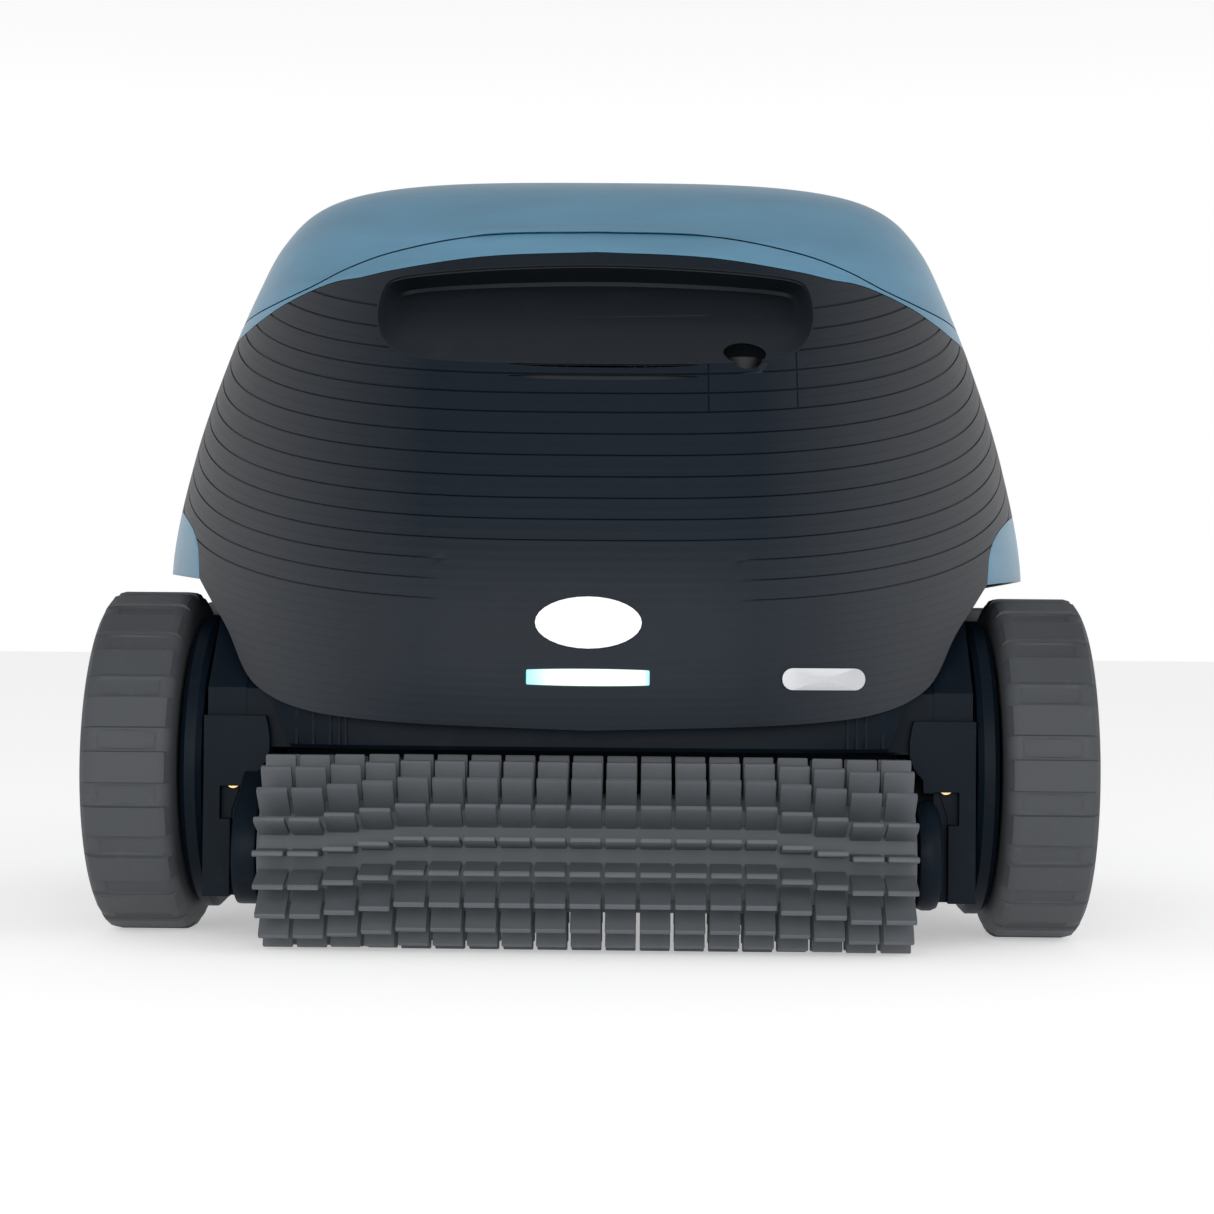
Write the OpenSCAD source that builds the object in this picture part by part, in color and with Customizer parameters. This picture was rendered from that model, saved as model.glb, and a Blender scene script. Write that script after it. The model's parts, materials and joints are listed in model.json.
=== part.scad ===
/* [Overall] */
// Width over the wheels
overall_w = 380; // [365:1:456]
// Length from the brush tips to the rear bumper
overall_l = 386; // [370:1:464]
// Height of the closed lid above the floor
body_h = 318; // [300:1:382]

/* [Shells] */
// Wall of the outer shells
wall = 3; // [2:0.25:4]
// Gap along the seams between the outer shells
seam = 0.8; // [0.5:0.1:1.5]
// Width of the grip opening
grip_w = 168; // [120:1:200]
// Depth of the grip pocket behind the shell at half height
grip_depth = 24; // [18:1:25]
// Length of the glowing status lens
lens_l = 45; // [30:1:70]
// Height of the glowing status lens
lens_h = 6.2; // [4:0.1:9]

/* [Wheels] */
// Radius to the flat tread pads
wheel_r = 66.5; // [62:0.5:80]
// Width of the tyre
tyre_w = 35; // [28:1:42]
// Number of tread pads
pads = 20; // [16:4:28]
// Depth of the pockets between the pads
pocket_depth = 3; // [1:0.5:5]
// Radius of the wheel axles
axle_r = 5; // [4:0.25:6]
// Running clearance on shafts
running = 0.05; // [0.02:0.01:0.1]

/* [Gears] */
// Gear module
module_mm = 2; // [1.8:0.05:2.1]
// Teeth on each wheel gear
wheel_teeth = 44; // [40:1:44]
// Teeth on each drive gear
drive_teeth = 52; // [50:1:56]
// Height of the drive shaft above the wheel axles
drive_rise = 13.8; // [8:0.1:20]
// Face width of the gears
gear_w = 6; // [5:0.5:6]

/* [Brush] */
// Radius to the blade tips
brush_r = 35.9; // [30:0.1:40]
// Number of blade columns along the brush
columns = 19; // [13:2:25]
// Number of blade rows round the brush
rows = 18; // [12:1:20]
// Distance from the front axle forward to the brush axis
brush_lead = 62; // [60:0.5:72]

/* [Pump] */
// Radius of the round outlet
outlet_r = 30; // [24:0.5:32]
// Number of impeller blades
blades = 5; // [3:1:7]

/* [Hidden] */
$fn = 48;
half_w = overall_w / 2;
half_l = overall_l / 2;
floor_gap = 0.3;

// Axles and gears, all turning about lines along X
axle_z = wheel_r;
brush_z = brush_r + floor_gap;
brush_y = brush_r - half_l;
front_y = brush_y + brush_lead;
mesh_d = module_mm * (wheel_teeth + drive_teeth) / 2;
half_base = sqrt(mesh_d * mesh_d - drive_rise * drive_rise);
mid_y = front_y + half_base;
rear_y = front_y + 2 * half_base;
drive_z = axle_z + drive_rise;
mesh_dir = atan2(drive_rise, half_base);
front_phase = mesh_dir;
drive_phase = meshed(front_phase, wheel_teeth, drive_teeth, mesh_dir);
rear_phase = meshed(drive_phase, drive_teeth, wheel_teeth, -mesh_dir);

// Layers across each side, outwards from the middle
tyre_in = half_w - tyre_w;
flange_w = 8;
flange_out = tyre_in - 1.5;
flange_in = flange_out - flange_w;
flange_r = wheel_r - 8.8;
frame_out = flange_in - 1.5;
cover_t = 3.5;
cover_in = frame_out - cover_t;
gear_out = cover_in - 1.5;
gear_in = gear_out - gear_w;
plate_t = 2.5;
plate_out = gear_in - 1;
plate_in = plate_out - plate_t;
case_w = 9;
case_in = plate_in - case_w;
pulley_w = 5;
pulley_out = plate_in - 1;
pulley_in = pulley_out - pulley_w;
brush_half = case_in - 0.6;
tub_half = case_in - 1.5;

// Side frame outline
frame_low = 18;
deck_z = max(0.46 * body_h, drive_z + module_mm * (drive_teeth / 2 + 1) + 2);
frame_top = deck_z;
frame_rear = rear_y + 52;
frame_wall = 2;
boss_r = 20;
wheel_pulley_r = 20;
wheel_gap = 1.5;
brush_pulley_r = 12;
belt_t = 2;
belt_gap = 0.3;
sleeve_r = 9;
bore_r = axle_r + running;

// Outline shares of the body at rising heights: height, half width, front and rear
profile_rows = [
  [0.189, 0.884, -0.881, 0.948], [0.314, 0.921, -0.907, 0.979], [0.453, 0.939, -0.876, 0.990],
  [0.597, 0.903, -0.782, 0.964], [0.723, 0.847, -0.663, 0.907], [0.824, 0.792, -0.523, 0.819],
  [0.896, 0.742, -0.394, 0.705], [0.950, 0.668, -0.259, 0.580], [0.981, 0.547, -0.114, 0.456],
  [0.997, 0.347, 0.041, 0.321], [1, 0, 0.187, 0.187]
];
spans = len(profile_rows) - 1;
squareness = 3;
// Share of the rings at which the flat crown of the lid begins
dome_share = 0.98;

function spline(a, b, c, d, t) =
  0.5 * (2 * b + (c - a) * t + (2 * a - 5 * b + 4 * c - d) * t * t + (3 * b - a - 3 * c + d) * t * t * t);
function knot(list, i) =
  i < 0 ? 2 * list[0] - list[1]
  : i >= len(list) ? 2 * list[len(list) - 1] - list[len(list) - 2] : list[i];
function along(list, q) = let (i = min(floor(q), len(list) - 2))
  spline(knot(list, i - 1), list[i], list[i + 1], knot(list, i + 2), q - i);
function section(s) = let (r = along(profile_rows, s * spans))
  [r[0] * body_h, r[1] * half_w, r[2] * half_l, r[3] * half_l];
function level(z, lo = 0, hi = 1, n = 22) = let (mid = (lo + hi) / 2)
  n == 0 ? mid : section(mid)[0] > z ? level(z, lo, mid, n - 1) : level(z, mid, hi, n - 1);

// A point of the body surface: share s of the way up, bearing b round from the front
function body_pt(s, b) = let (r = section(s), c = (r[2] + r[3]) / 2, h = (r[3] - r[2]) / 2)
  r[1] < 0.01 ? [0, c, r[0]] : let (
    q = pow(pow(abs(sin(b)) / r[1], squareness) + pow(abs(cos(b)) / h, squareness), -1 / squareness)
  ) [q * sin(b), c - q * cos(b), r[0]];
function unit(v) = v / norm(v);
function body_normal(s, b) = s >= dome_share ? [0, 0, 1]
  : unit(cross(body_pt(s, b + 0.5) - body_pt(s, b - 0.5),
    body_pt(min(s + 0.002, 1), b) - body_pt(s - 0.002, b)));
// Share of the height at which the rear surface stands at depth y
function rear_level(y, lo = 0.3, hi = 1, n = 22) = let (mid = (lo + hi) / 2)
  n == 0 ? mid : section(mid)[3] > y ? rear_level(y, mid, hi, n - 1) : rear_level(y, lo, mid, n - 1);
// Depth of the front surface behind a point at (x, z) of the front view
function face_y(x, z) = let (r = section(level(z)), c = (r[2] + r[3]) / 2, h = (r[3] - r[2]) / 2)
  c - h * pow(1 - pow(min(abs(x) / r[1], 1), squareness), 1 / squareness);

// Phase of a gear that meshes with another one lying in direction dir
function meshed(phase, teeth_a, teeth_b, dir) =
  dir + 180 - (phase - dir) * teeth_a / teeth_b + 180 / teeth_b;

function mirrored(list) = concat(
  [for (i = [len(list) - 1:-1:1]) [-list[i][0], list[i][1]]], list);
function scaled(list) = [for (p = list) [p[0] * half_w, p[1] * body_h]];

// Seams seen from the front, as shares of half the width and of the height
lower_edge = scaled([[0, 0.258], [0.32, 0.264], [0.48, 0.271], [0.56, 0.279], [0.626, 0.293],
  [0.68, 0.318], [0.726, 0.371], [0.771, 0.408], [0.803, 0.434]]);
arch_edge = scaled([[0.803, 0.434], [0.815, 0.478], [0.85, 0.508], [0.92, 0.535], [1.06, 0.57]]);
shell_top = scaled([[0, 0.848], [0.24, 0.841], [0.475, 0.819], [0.563, 0.812], [0.665, 0.789],
  [0.74, 0.766], [0.80, 0.752], [1.06, 0.715]]);
lid_edge = scaled([[0, 0.883], [0.235, 0.879], [0.418, 0.858], [0.525, 0.836], [0.632, 0.806],
  [0.78, 0.782], [1.06, 0.762]]);
skirt_z = 0.456 * body_h;
shell_rear = 0.13 * half_l;
lid_rear = 0.37 * half_l;
hinge_y = lid_rear + 4.5;
hinge_z = body_pt(1, 0)[2] - 4.5;
hinge_half = 0.32 * half_w;
knuckle_r = 3.2;
pin_r = 1.6;
// Hinge knuckles of the lid lie inside those of the hood
lid_knuckle = [0.1 * half_w, 0.22 * half_w];
hood_knuckle = [lid_knuckle[1] + 0.5, hinge_half - 2];

// Main inner sizes
tub_z = 22;
tub_t = 3;
tub_front = front_y - 18;
tub_rear = rear_y + 58;
tub_top = brush_z + brush_r + 1.85;
leg_front = max(front_y - 50, face_y(plate_in, 0.335 * body_h) - 6);
deck_t = 3;
pump_y = min(0.6 * half_l, tub_rear - tub_t - 34);
box_half = 75;
box_wall = 3;
box_front = mid_y - 28;
box_rear = pump_y + 33;
box_z = tub_z + tub_t;
basket_half = 0.58 * half_w;
basket_front = -0.34 * half_l;
basket_rear = 0.33 * half_l;
basket_top = 0.85 * body_h;
basket_low = deck_z + deck_t + 0.4;
bar = 4;
intake_w = 62;
intake_l = 26;
intake_x = 48;
intake_y = (tub_front + box_front) / 2 - 6;
flap_t = 2;
motor_end = box_half - box_wall - 1;
drive_shaft_r = 4;
motor_r = 20;
box_top = max(box_z + 87, drive_z + motor_r + 6);
pump_motor_r = 28;
pump_shaft_r = 3;
duct_r = outlet_r + 1;
duct_t = 2.5;
impeller_z = 0.51 * body_h;
core_r = 14;
core_shaft_r = 5;
flap_y = intake_y - intake_l / 2 - 5;
flap_z = tub_z + tub_t + 3.4;
flap_pin_r = 1.5;

// Front details
beam_front = brush_y - 4;
beam_z = tub_top + 0.05;
beam_half = case_in - 0.6;
rib_pitch = 14;
cap_t = 3;
cap_low = 0.056 * body_h;
cap_top = 0.27 * body_h;
slot_x = (plate_in + frame_out) / 2 - 3;
slot_w = 9.5;
slot_z = 0.18 * body_h;
slot_h = 14;
screw_r = 2.6;
screw_z = slot_z + slot_h / 2 - 3.2;
grip_z = 0.759 * body_h;
grip_h = 0.128 * body_h;
grip_low = grip_z - grip_h / 2;
grip_slope = 1.25;
grip_wall = 2.4;
lens_z = 0.319 * body_h;
badge_z = 0.382 * body_h;
badge_w = 39;
badge_h = 19;
plaque_x = 0.455 * half_w;
plaque_w = 31;
plaque_h = 8;
cover_x = 0.321 * half_w;
cover_w = 0.18 * half_w;
cover_h = 0.052 * body_h;
gland_x = 0.303 * half_w;
gland_z = grip_low + 4;
gland_r = 6;
gland_bore = 4;
gland_l = 14;
gland_y = face_y(gland_x, gland_z) + wall + gland_r + 0.5;

// Rims and brush
rim_r = wheel_r - 19;
column_pitch = 2 * brush_half / columns;
column_gap = 1.5;
root_r = brush_r * 0.61;
blade_t = 2.2;
brush_turn = 8;
twist_step = 3.2;

// Slope of the outlet, from the heights of the top at its front and rear
outlet_za = section(rear_level(pump_y - outlet_r))[0];
outlet_zb = section(rear_level(pump_y + outlet_r))[0];
outlet_z = (outlet_za + outlet_zb) / 2;
outlet_tilt = atan2(outlet_za - outlet_zb, 2 * outlet_r);

navy = [0.11, 0.14, 0.18];
charcoal = [0.15, 0.18, 0.21];
grey = [0.30, 0.31, 0.32];
blue = [0.42, 0.59, 0.70];
steel = [0.75, 0.76, 0.78];
brass = [0.80, 0.62, 0.32];

// A flat outline in (Y, Z), drawn out from X = a to X = b
module side_slab(a, b) {
  translate([a, 0, 0])
    rotate([90, 0, 90])
      linear_extrude(b - a) children();
}

// An outline in (X, Z), drawn out from Y = a to Y = b
module front_slab(a, b) {
  translate([0, b, 0])
    rotate([90, 0, 0])
      linear_extrude(b - a) children();
}

// A cylinder along X
module rod(a, b, r, y, z, fn = 64) {
  translate([a, y, z])
    rotate([0, 90, 0])
      cylinder(h = b - a, r = r, $fn = fn);
}

module box(lo, hi) {
  translate(lo) cube(hi - lo);
}

// The child and its mirror image on the other side
module both_sides() {
  children();
  mirror([1, 0, 0]) children();
}

// The child as it is on the right, or mirrored to the left
module on_side(left) {
  mirror([left ? 1 : 0, 0, 0]) children();
}

// A closed sheet between an outer and an inner grid of points
module sheet(outer, inner) {
  n = len(outer);
  m = len(outer[0]);
  k = n * m;
  points = concat([for (r = outer) each r], [for (r = inner) each r]);
  faces = concat(
    [for (i = [0:n - 2], j = [0:m - 2]) each let (a = i * m + j)
      [[a, a + m, a + m + 1], [a, a + m + 1, a + 1],
      [k + a, k + a + m + 1, k + a + m], [k + a, k + a + 1, k + a + m + 1]]],
    [for (j = [0:m - 2]) each let (a = j, b = (n - 1) * m + j)
      [[a, a + 1, k + a + 1], [a, k + a + 1, k + a], [b, k + b + 1, b + 1], [b, k + b, k + b + 1]]],
    [for (i = [0:n - 2]) each let (a = i * m, b = i * m + m - 1)
      [[a, k + a + m, a + m], [a, k + a, k + a + m], [b, b + m, k + b + m], [b, k + b + m, k + b]]]
  );
  polyhedron(points = points, faces = faces, convexity = 6);
}

// A closed solid through rings of points, capped at both ends or joined in a loop
module ringed(rings, loop = false) {
  n = len(rings);
  m = len(rings[0]);
  last = loop ? n - 1 : n - 2;
  faces = concat(
    [for (i = [0:last], j = [0:m - 1]) each let (
      a = i * m + j, b = i * m + (j + 1) % m, c = (i + 1) % n * m + j, d = (i + 1) % n * m + (j + 1) % m
    ) [[a, c, d], [a, d, b]]],
    loop ? [] : [[for (j = [0:m - 1]) j], [for (j = [m - 1:-1:0]) (n - 1) * m + j]]
  );
  polyhedron(points = [for (r = rings) each r], faces = faces, convexity = 6);
}

// Part of the body's skin: shares s up, bearings b round
module skin(s0, s1, ns, b0, b1, nb, depth = wall) {
  grid = [for (i = [0:ns]) [for (j = [0:nb])
    [s0 + (s1 - s0) * i / ns, b0 + (b1 - b0) * j / nb]]];
  outer = [for (r = grid) [for (p = r) body_pt(p[0], p[1])]];
  inner = [for (r = grid) [for (p = r) body_pt(p[0], p[1]) - depth * body_normal(p[0], p[1])]];
  sheet(inner, outer);
}

// The body's skin all the way round, from share s0 up to share s1, open or closed at the top
module skin_round(s0, s1, ns, nb, dome) {
  shares = [for (i = [0:ns]) s0 + (s1 - s0) * i / ns];
  bearings = [for (j = [0:nb - 1]) 360 * j / nb];
  ringed(concat(
    [for (i = [ns:-1:0]) [for (b = bearings)
      body_pt(shares[i], b) - wall * body_normal(shares[i], b)]],
    [for (s = shares) [for (b = bearings) body_pt(s, b)]]
  ), !dome);
}

// Region of the front view above an edge
module above(edge, gap = 0) {
  pts = mirrored(edge);
  top = 1.3 * body_h;
  polygon(concat([for (p = pts) p + [0, gap]],
    [[pts[len(pts) - 1][0], top], [pts[0][0], top]]));
}

// Rounded box outline in the front view as a ring of points round (cx, cz)
function soft_ring(w, h, r, cx, cz) = [for (q = [0:3], k = [0:5])
  let (sx = q == 0 || q == 3 ? 1 : -1, sz = q < 2 ? 1 : -1, a = q * 90 + k * 18)
    [cx + sx * (w / 2 - r) + r * cos(a), cz + sz * (h / 2 - r) + r * sin(a)]];

function gear_pts(teeth, phase) = let (r = module_mm * teeth / 2, p = 360 / teeth)
  [for (k = [0:teeth - 1], q = [[-0.31, -1.2], [-0.115, 0.9], [0.115, 0.9], [0.31, -1.2]])
    (r + q[1] * module_mm) * [cos(phase + (k + q[0]) * p), sin(phase + (k + q[0]) * p)]];

// A spur gear about an axis along X
module gear(teeth, phase, y, z, a, b) {
  side_slab(a, b)
    translate([y, z]) polygon(gear_pts(teeth, phase));
}

// ---- Chassis ----

// Outline of a side frame in (Y, Z), drawn in by a margin
module frame_outline(in = 0) {
  polygon([
    [leg_front + in, frame_low + in], [frame_rear - in, frame_low + in],
    [frame_rear - in, frame_top - 40 - in * 0.4], [frame_rear - 34 - in * 0.4, frame_top - in],
    [leg_front + 46 + in * 0.6, frame_top - in], [leg_front + in, frame_top - 50 - in * 0.5]
  ]);
}

module side_frame(left) {
  color(navy) on_side(left) difference() {
    union() {
      side_slab(plate_in, cover_in) frame_outline();
      for (y = left ? [rear_y] : [front_y, rear_y])
        rod(case_in + 1, plate_in + 1, 12, y, axle_z);
    }
    side_slab(plate_out, cover_in + 1) frame_outline(frame_wall);
    for (y = left ? [rear_y] : [front_y, rear_y])
      rod(case_in - 1, plate_out + 1, axle_r + 0.02, y, axle_z);
    if (left) {
      rod(case_in - 1, plate_out + 1, sleeve_r + 1, front_y, axle_z);
    }
    rod(case_in - 1, plate_out + 1, 6, mid_y, drive_z);
    for (y = [leg_front + 10, frame_rear - 10])
      rod(case_in - 1, plate_out + 1, 1.7, y, frame_low + 12);
    leg_screw_hole();
  }
}

module gear_cover(left) {
  color(navy) on_side(left) difference() {
    side_slab(cover_in, frame_out) frame_outline();
    for (y = [front_y, rear_y])
      rod(cover_in - 1, frame_out + 1, sleeve_r + 5, y, axle_z);
    rod(cover_in - 1, cover_in + 2, drive_shaft_r + running, mid_y, drive_z);
  }
}

// Region that the belt runs in, seen from the side
module belt_region(grow) {
  hull() {
    translate([brush_y, brush_z]) circle(brush_pulley_r + grow, $fn = 64);
    translate([front_y, axle_z]) circle(wheel_pulley_r + grow, $fn = 64);
  }
}

module left_belt_cover() {
  color(navy) on_side(true) difference() {
    side_slab(case_in, plate_in) belt_region(boss_r - brush_pulley_r);
    side_slab(case_in + 2, plate_in + 1) belt_region(belt_t + 2.5);
    rod(case_in - 1, plate_in, axle_r + 0.02, front_y, axle_z);
    rod(case_in - 1, plate_in, core_shaft_r + running, brush_y, brush_z);
  }
}

module right_brush_bearing() {
  color(navy) difference() {
    side_slab(case_in, plate_in) {
      translate([brush_y, brush_z]) circle(boss_r, $fn = 72);
      polygon([[brush_y, brush_z - boss_r], [leg_front + 22, brush_z - 12],
        [leg_front + 22, brush_z + 12], [brush_y, brush_z + boss_r]]);
    }
    rod(case_in - 1, plate_in + 1, core_shaft_r + running, brush_y, brush_z);
  }
}

module brush_belt() {
  color([0.05, 0.05, 0.05]) on_side(true)
    side_slab(pulley_in + 0.4, pulley_out - 0.4)
      difference() {
        belt_region(belt_t + belt_gap);
        belt_region(belt_gap);
      }
}

module underbody() {
  color(navy) difference() {
    box([-tub_half, tub_front, tub_z], [tub_half, tub_rear, tub_top]);
    box([-tub_half + tub_t, tub_front + tub_t, tub_z + tub_t],
      [tub_half - tub_t, tub_rear - tub_t, tub_top + 1]);
    for (s = [-1, 1]) {
      translate([s * intake_x, intake_y, tub_z + 1])
        cube([intake_w, intake_l, 12], center = true);
      rod(s > 0 ? tub_half - 5 : -tub_half - 1, s > 0 ? tub_half + 1 : -tub_half + 5, 12, mid_y, drive_z);
    }
    for (s = [-1, 1], y = [tub_front + 16, tub_rear - 16])
      translate([s * 100, y, tub_z - 1]) cylinder(h = tub_t + 2, r = 2.2);
  }
}

module front_beam() {
  ribs = floor(beam_half / rib_pitch);
  color(navy) difference() {
    union() {
      box([-beam_half, beam_front, beam_z], [beam_half, tub_front + 6, beam_z + 3]);
      box([-beam_half, beam_front, beam_z], [beam_half, beam_front + 3, beam_z + 9]);
      for (k = [-ribs:ribs])
        box([k * rib_pitch - 1, beam_front, beam_z], [k * rib_pitch + 1, tub_front + 2, beam_z + 9]);
    }
    for (k = [-ribs:ribs])
      translate([k * rib_pitch + rib_pitch / 2, beam_front, beam_z + 5])
        cube([0.8, 1.2, 12], center = true);
  }
}

module leg_cap(left) {
  color(navy) on_side(left) difference() {
    front_slab(leg_front - cap_t, leg_front - 0.1)
      polygon([[plate_in + 0.5, cap_low], [frame_out + 0.8, cap_low],
        [frame_out + 0.8, cap_top], [case_in + 3, cap_top], [case_in, cap_top - 3],
        [case_in, slot_z + 13], [plate_in - 4, slot_z + 12], [plate_in + 0.5, slot_z + 10]]);
    translate([slot_x, leg_front - cap_t, slot_z])
      cube([slot_w, 2 * cap_t - 2, slot_h], center = true);
    leg_screw_hole();
    if (left) side_slab(case_in - 1, plate_in + 1) belt_region(boss_r - brush_pulley_r + 0.3);
  }
}

// Bore for the screw of a leg, on the right
module leg_screw_hole() {
  front_slab(leg_front - cap_t, leg_front + frame_wall + 0.5)
    translate([slot_x, screw_z]) circle(screw_r * 0.6 + 0.1);
}

// A pan-head screw with a slotted head, along -Y
module screw(r, l) {
  rotate([90, 0, 0]) difference() {
    union() {
      cylinder(h = l, r = r * 0.6);
      translate([0, 0, l]) cylinder(h = r * 0.7, r = r);
    }
    translate([0, 0, l + r * 0.7]) cube([r * 1.6, r * 0.35, r * 0.6], center = true);
  }
}

module leg_screws() {
  color(brass) both_sides()
    translate([slot_x, leg_front + 2.2, screw_z]) screw(screw_r, 3.3);
}

// ---- Outer shells ----

// Room round the wheels and their flanges
module wheel_room() {
  both_sides()
    for (y = [front_y, rear_y])
      rod(flange_in - 1, half_w + 10, wheel_r + wheel_gap, y, axle_z);
}

module front_shell() {
  hole = soft_ring(grip_w, grip_h, 12, 0, grip_z);
  color(charcoal) difference() {
    intersection() {
      skin(level(0.2 * body_h), level(0.87 * body_h), 20, -112, 112, 44);
      front_slab(-half_l - 10, shell_rear)
        difference() {
          above(concat(lower_edge, [for (i = [1:len(arch_edge) - 1]) arch_edge[i]]));
          above(shell_top, -seam / 2);
        }
    }
    front_slab(-half_l - 10, 0) {
      polygon(hole);
      translate([0, lens_z]) square([lens_l + 0.4, lens_h + 0.4], center = true);
    }
    wheel_room();
  }
}

// The back of the pocket leans away, so that it is shallow below and deep above
module grip_pocket() {
  ring = soft_ring(grip_w - 0.6, grip_h - 0.6, 11.7, 0, grip_z);
  shut = soft_ring(grip_w - 0.6 - 2 * grip_wall, grip_h - 0.6 - 2 * grip_wall, 9.3, 0, grip_z);
  function back(z) = face_y(0, grip_z) + grip_depth + grip_slope * (z - grip_z);
  color(charcoal) difference() {
    ringed([
      [for (p = ring) [p[0], back(p[1]) + grip_wall, p[1]]],
      [for (p = ring) [p[0], face_y(p[0], p[1]) + 0.8, p[1]]],
      [for (p = shut) [p[0], face_y(p[0], p[1]) + 0.8, p[1]]],
      [for (p = shut) [p[0], back(p[1]), p[1]]]
    ]);
    translate([gland_x, gland_y, grip_low - 1]) cylinder(h = 13, r = gland_r + 2.5);
  }
}

// A thin plate that follows the front surface, inside an outline seen from the front
module pad_on_face(ring, proud, sunk) {
  mid = [for (k = [0:1]) (min([for (p = ring) p[k]]) + max([for (p = ring) p[k]])) / 2];
  shares = [0.04, 0.35, 0.65, 0.85, 1];
  ringed(concat(
    [for (f = shares) [for (p = ring) let (q = mid + f * (p - mid))
      [q[0], face_y(q[0], q[1]) + sunk, q[1]]]],
    [for (i = [len(shares) - 1:-1:0]) [for (p = ring) let (q = mid + shares[i] * (p - mid))
      [q[0], face_y(q[0], q[1]) - proud, q[1]]]]
  ));
}

module cable_cover() {
  color(charcoal)
    pad_on_face(soft_ring(cover_w, cover_h, 2, cover_x, grip_low - 1 - cover_h / 2), 1, -0.6);
}

// The gland stands up through the floor of the grip pocket
module cable_gland() {
  color([0.03, 0.03, 0.03])
    translate([gland_x, gland_y, gland_z - gland_l]) difference() {
      union() {
        cylinder(h = gland_l, r = gland_r);
        translate([0, 1.5, 0]) cylinder(h = 4, r = gland_r + 2);
      }
      translate([0, 0, -1]) cylinder(h = gland_l + 2, r = gland_bore);
    }
}

module light_lens() {
  color([0.95, 1, 1])
    translate([0, face_y(0, lens_z) + wall / 2 - 0.2, lens_z])
      cube([lens_l, wall + 1.4, lens_h], center = true);
}

module light_board() {
  color([0.1, 0.4, 0.2])
    translate([0, face_y(0, lens_z) + wall + 4, lens_z])
      cube([lens_l + 12, 1.6, lens_h + 6], center = true);
}

module badge() {
  ring = [for (k = [0:31]) [badge_w / 2 * cos(k * 11.25), badge_z + badge_h / 2 * sin(k * 11.25)]];
  color([0.9, 0.92, 0.94]) pad_on_face(ring, 1, -0.05);
}

module side_plaque() {
  ring = soft_ring(plaque_w, plaque_h, plaque_h / 2 - 0.1, plaque_x, lens_z);
  color(steel) pad_on_face(ring, 1, -0.4);
}

module hood() {
  color(blue) difference() {
    union() {
      difference() {
        intersection() {
          skin_round(level(0.3 * body_h), 0.97, 18, 60, false);
          front_slab(-half_l, half_l)
            above(concat(lower_edge, [[1.06 * half_w, skirt_z]]));
        }
        // Room for the lid
        front_slab(-half_l, lid_rear + seam) above(lid_edge, -seam);
        // Room for the front shell
        front_slab(-half_l - 1, shell_rear + seam) difference() {
          above(concat(lower_edge, [for (i = [1:len(arch_edge) - 1]) arch_edge[i]]), -seam);
          above(shell_top, seam / 2);
        }
        box([-hinge_half, lid_rear - 2, hinge_z - 20],
          [hinge_half, hinge_y + knuckle_r + 0.8, hinge_z + 20]);
        translate([0, pump_y, body_h / 2]) cylinder(h = body_h, r = outlet_r + 1);
      }
      both_sides() {
        rod(hood_knuckle[0], hood_knuckle[1], knuckle_r, hinge_y, hinge_z);
        box([hood_knuckle[0], hinge_y, hinge_z - 3], [hood_knuckle[1], hinge_y + 9, hinge_z - 0.2]);
      }
    }
    both_sides()
      rod(hood_knuckle[0] - 1, hood_knuckle[1] - 1, pin_r + 0.02, hinge_y, hinge_z);
    wheel_room();
  }
}

module rear_bumper() {
  half = 0.66 * half_w;
  root = tub_rear + 0.05;
  depth = half_l - root;
  low = 0.16 * body_h;
  tall = 0.09 * body_h;
  color(navy) difference() {
    translate([0, 0, low]) linear_extrude(tall)
      polygon(concat([[half, root]], [for (k = [0:24]) let (x = half * (1 - k / 12))
        [x, root + depth * pow(1 - pow(abs(x) / half, 4), 0.25)]], [[-half, root]]));
    both_sides()
      box([0.12 * half, root + 6, low - 1], [0.8 * half, root + 0.75 * depth, low + tall - wall]);
  }
}

// Slab in the plane of the outlet, between two depths below it
module outlet_slab(a, b) {
  translate([0, pump_y, outlet_z]) rotate([-outlet_tilt, 0, 0])
    translate([-100, -150, -b]) cube([200, 300, b - a]);
}

module outlet_grille() {
  pitch = outlet_r / 4;
  color(navy) intersection() {
    outlet_slab(0.5, 3.5);
    translate([0, pump_y, 0.5 * body_h]) difference() {
      cylinder(h = body_h, r = outlet_r + 0.5, $fn = 72);
      for (k = [-3:3])
        translate([-sqrt(pow(outlet_r - 3, 2) - pow(k * pitch, 2)), k * pitch - pitch / 2 + 1, -1])
          cube([2 * sqrt(pow(outlet_r - 3, 2) - pow(k * pitch, 2)), pitch - 2, body_h + 2]);
    }
  }
}

module outlet_duct() {
  low = box_top + 3.2;
  color(charcoal) difference() {
    translate([0, pump_y, low]) difference() {
      cylinder(h = body_h - low, r = duct_r + duct_t, $fn = 72);
      translate([0, 0, -1]) cylinder(h = body_h, r = duct_r, $fn = 72);
    }
    outlet_slab(-80, 6.5);
    for (a = [0, 90])
      translate([0, pump_y, low + 4]) rotate([0, 0, a + 45])
        translate([-60, -15, 0]) cube([120, 30, deck_z - low - 8]);
  }
}

module deck() {
  color(charcoal) difference() {
    translate([0, 0, deck_z]) linear_extrude(deck_t)
      polygon([[-frame_out, -0.5 * half_l], [frame_out, -0.5 * half_l], [frame_out, 0.57 * half_l],
        [0.58 * half_w, 0.8 * half_l], [-0.58 * half_w, 0.8 * half_l], [-frame_out, 0.57 * half_l]]);
    box([-basket_half + 14, basket_front + 12, deck_z - 1],
      [basket_half - 14, basket_rear - 12, deck_z + deck_t + 1]);
    translate([0, pump_y, deck_z - 1]) cylinder(h = deck_t + 2, r = duct_r + duct_t + 0.5, $fn = 72);
  }
}

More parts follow.
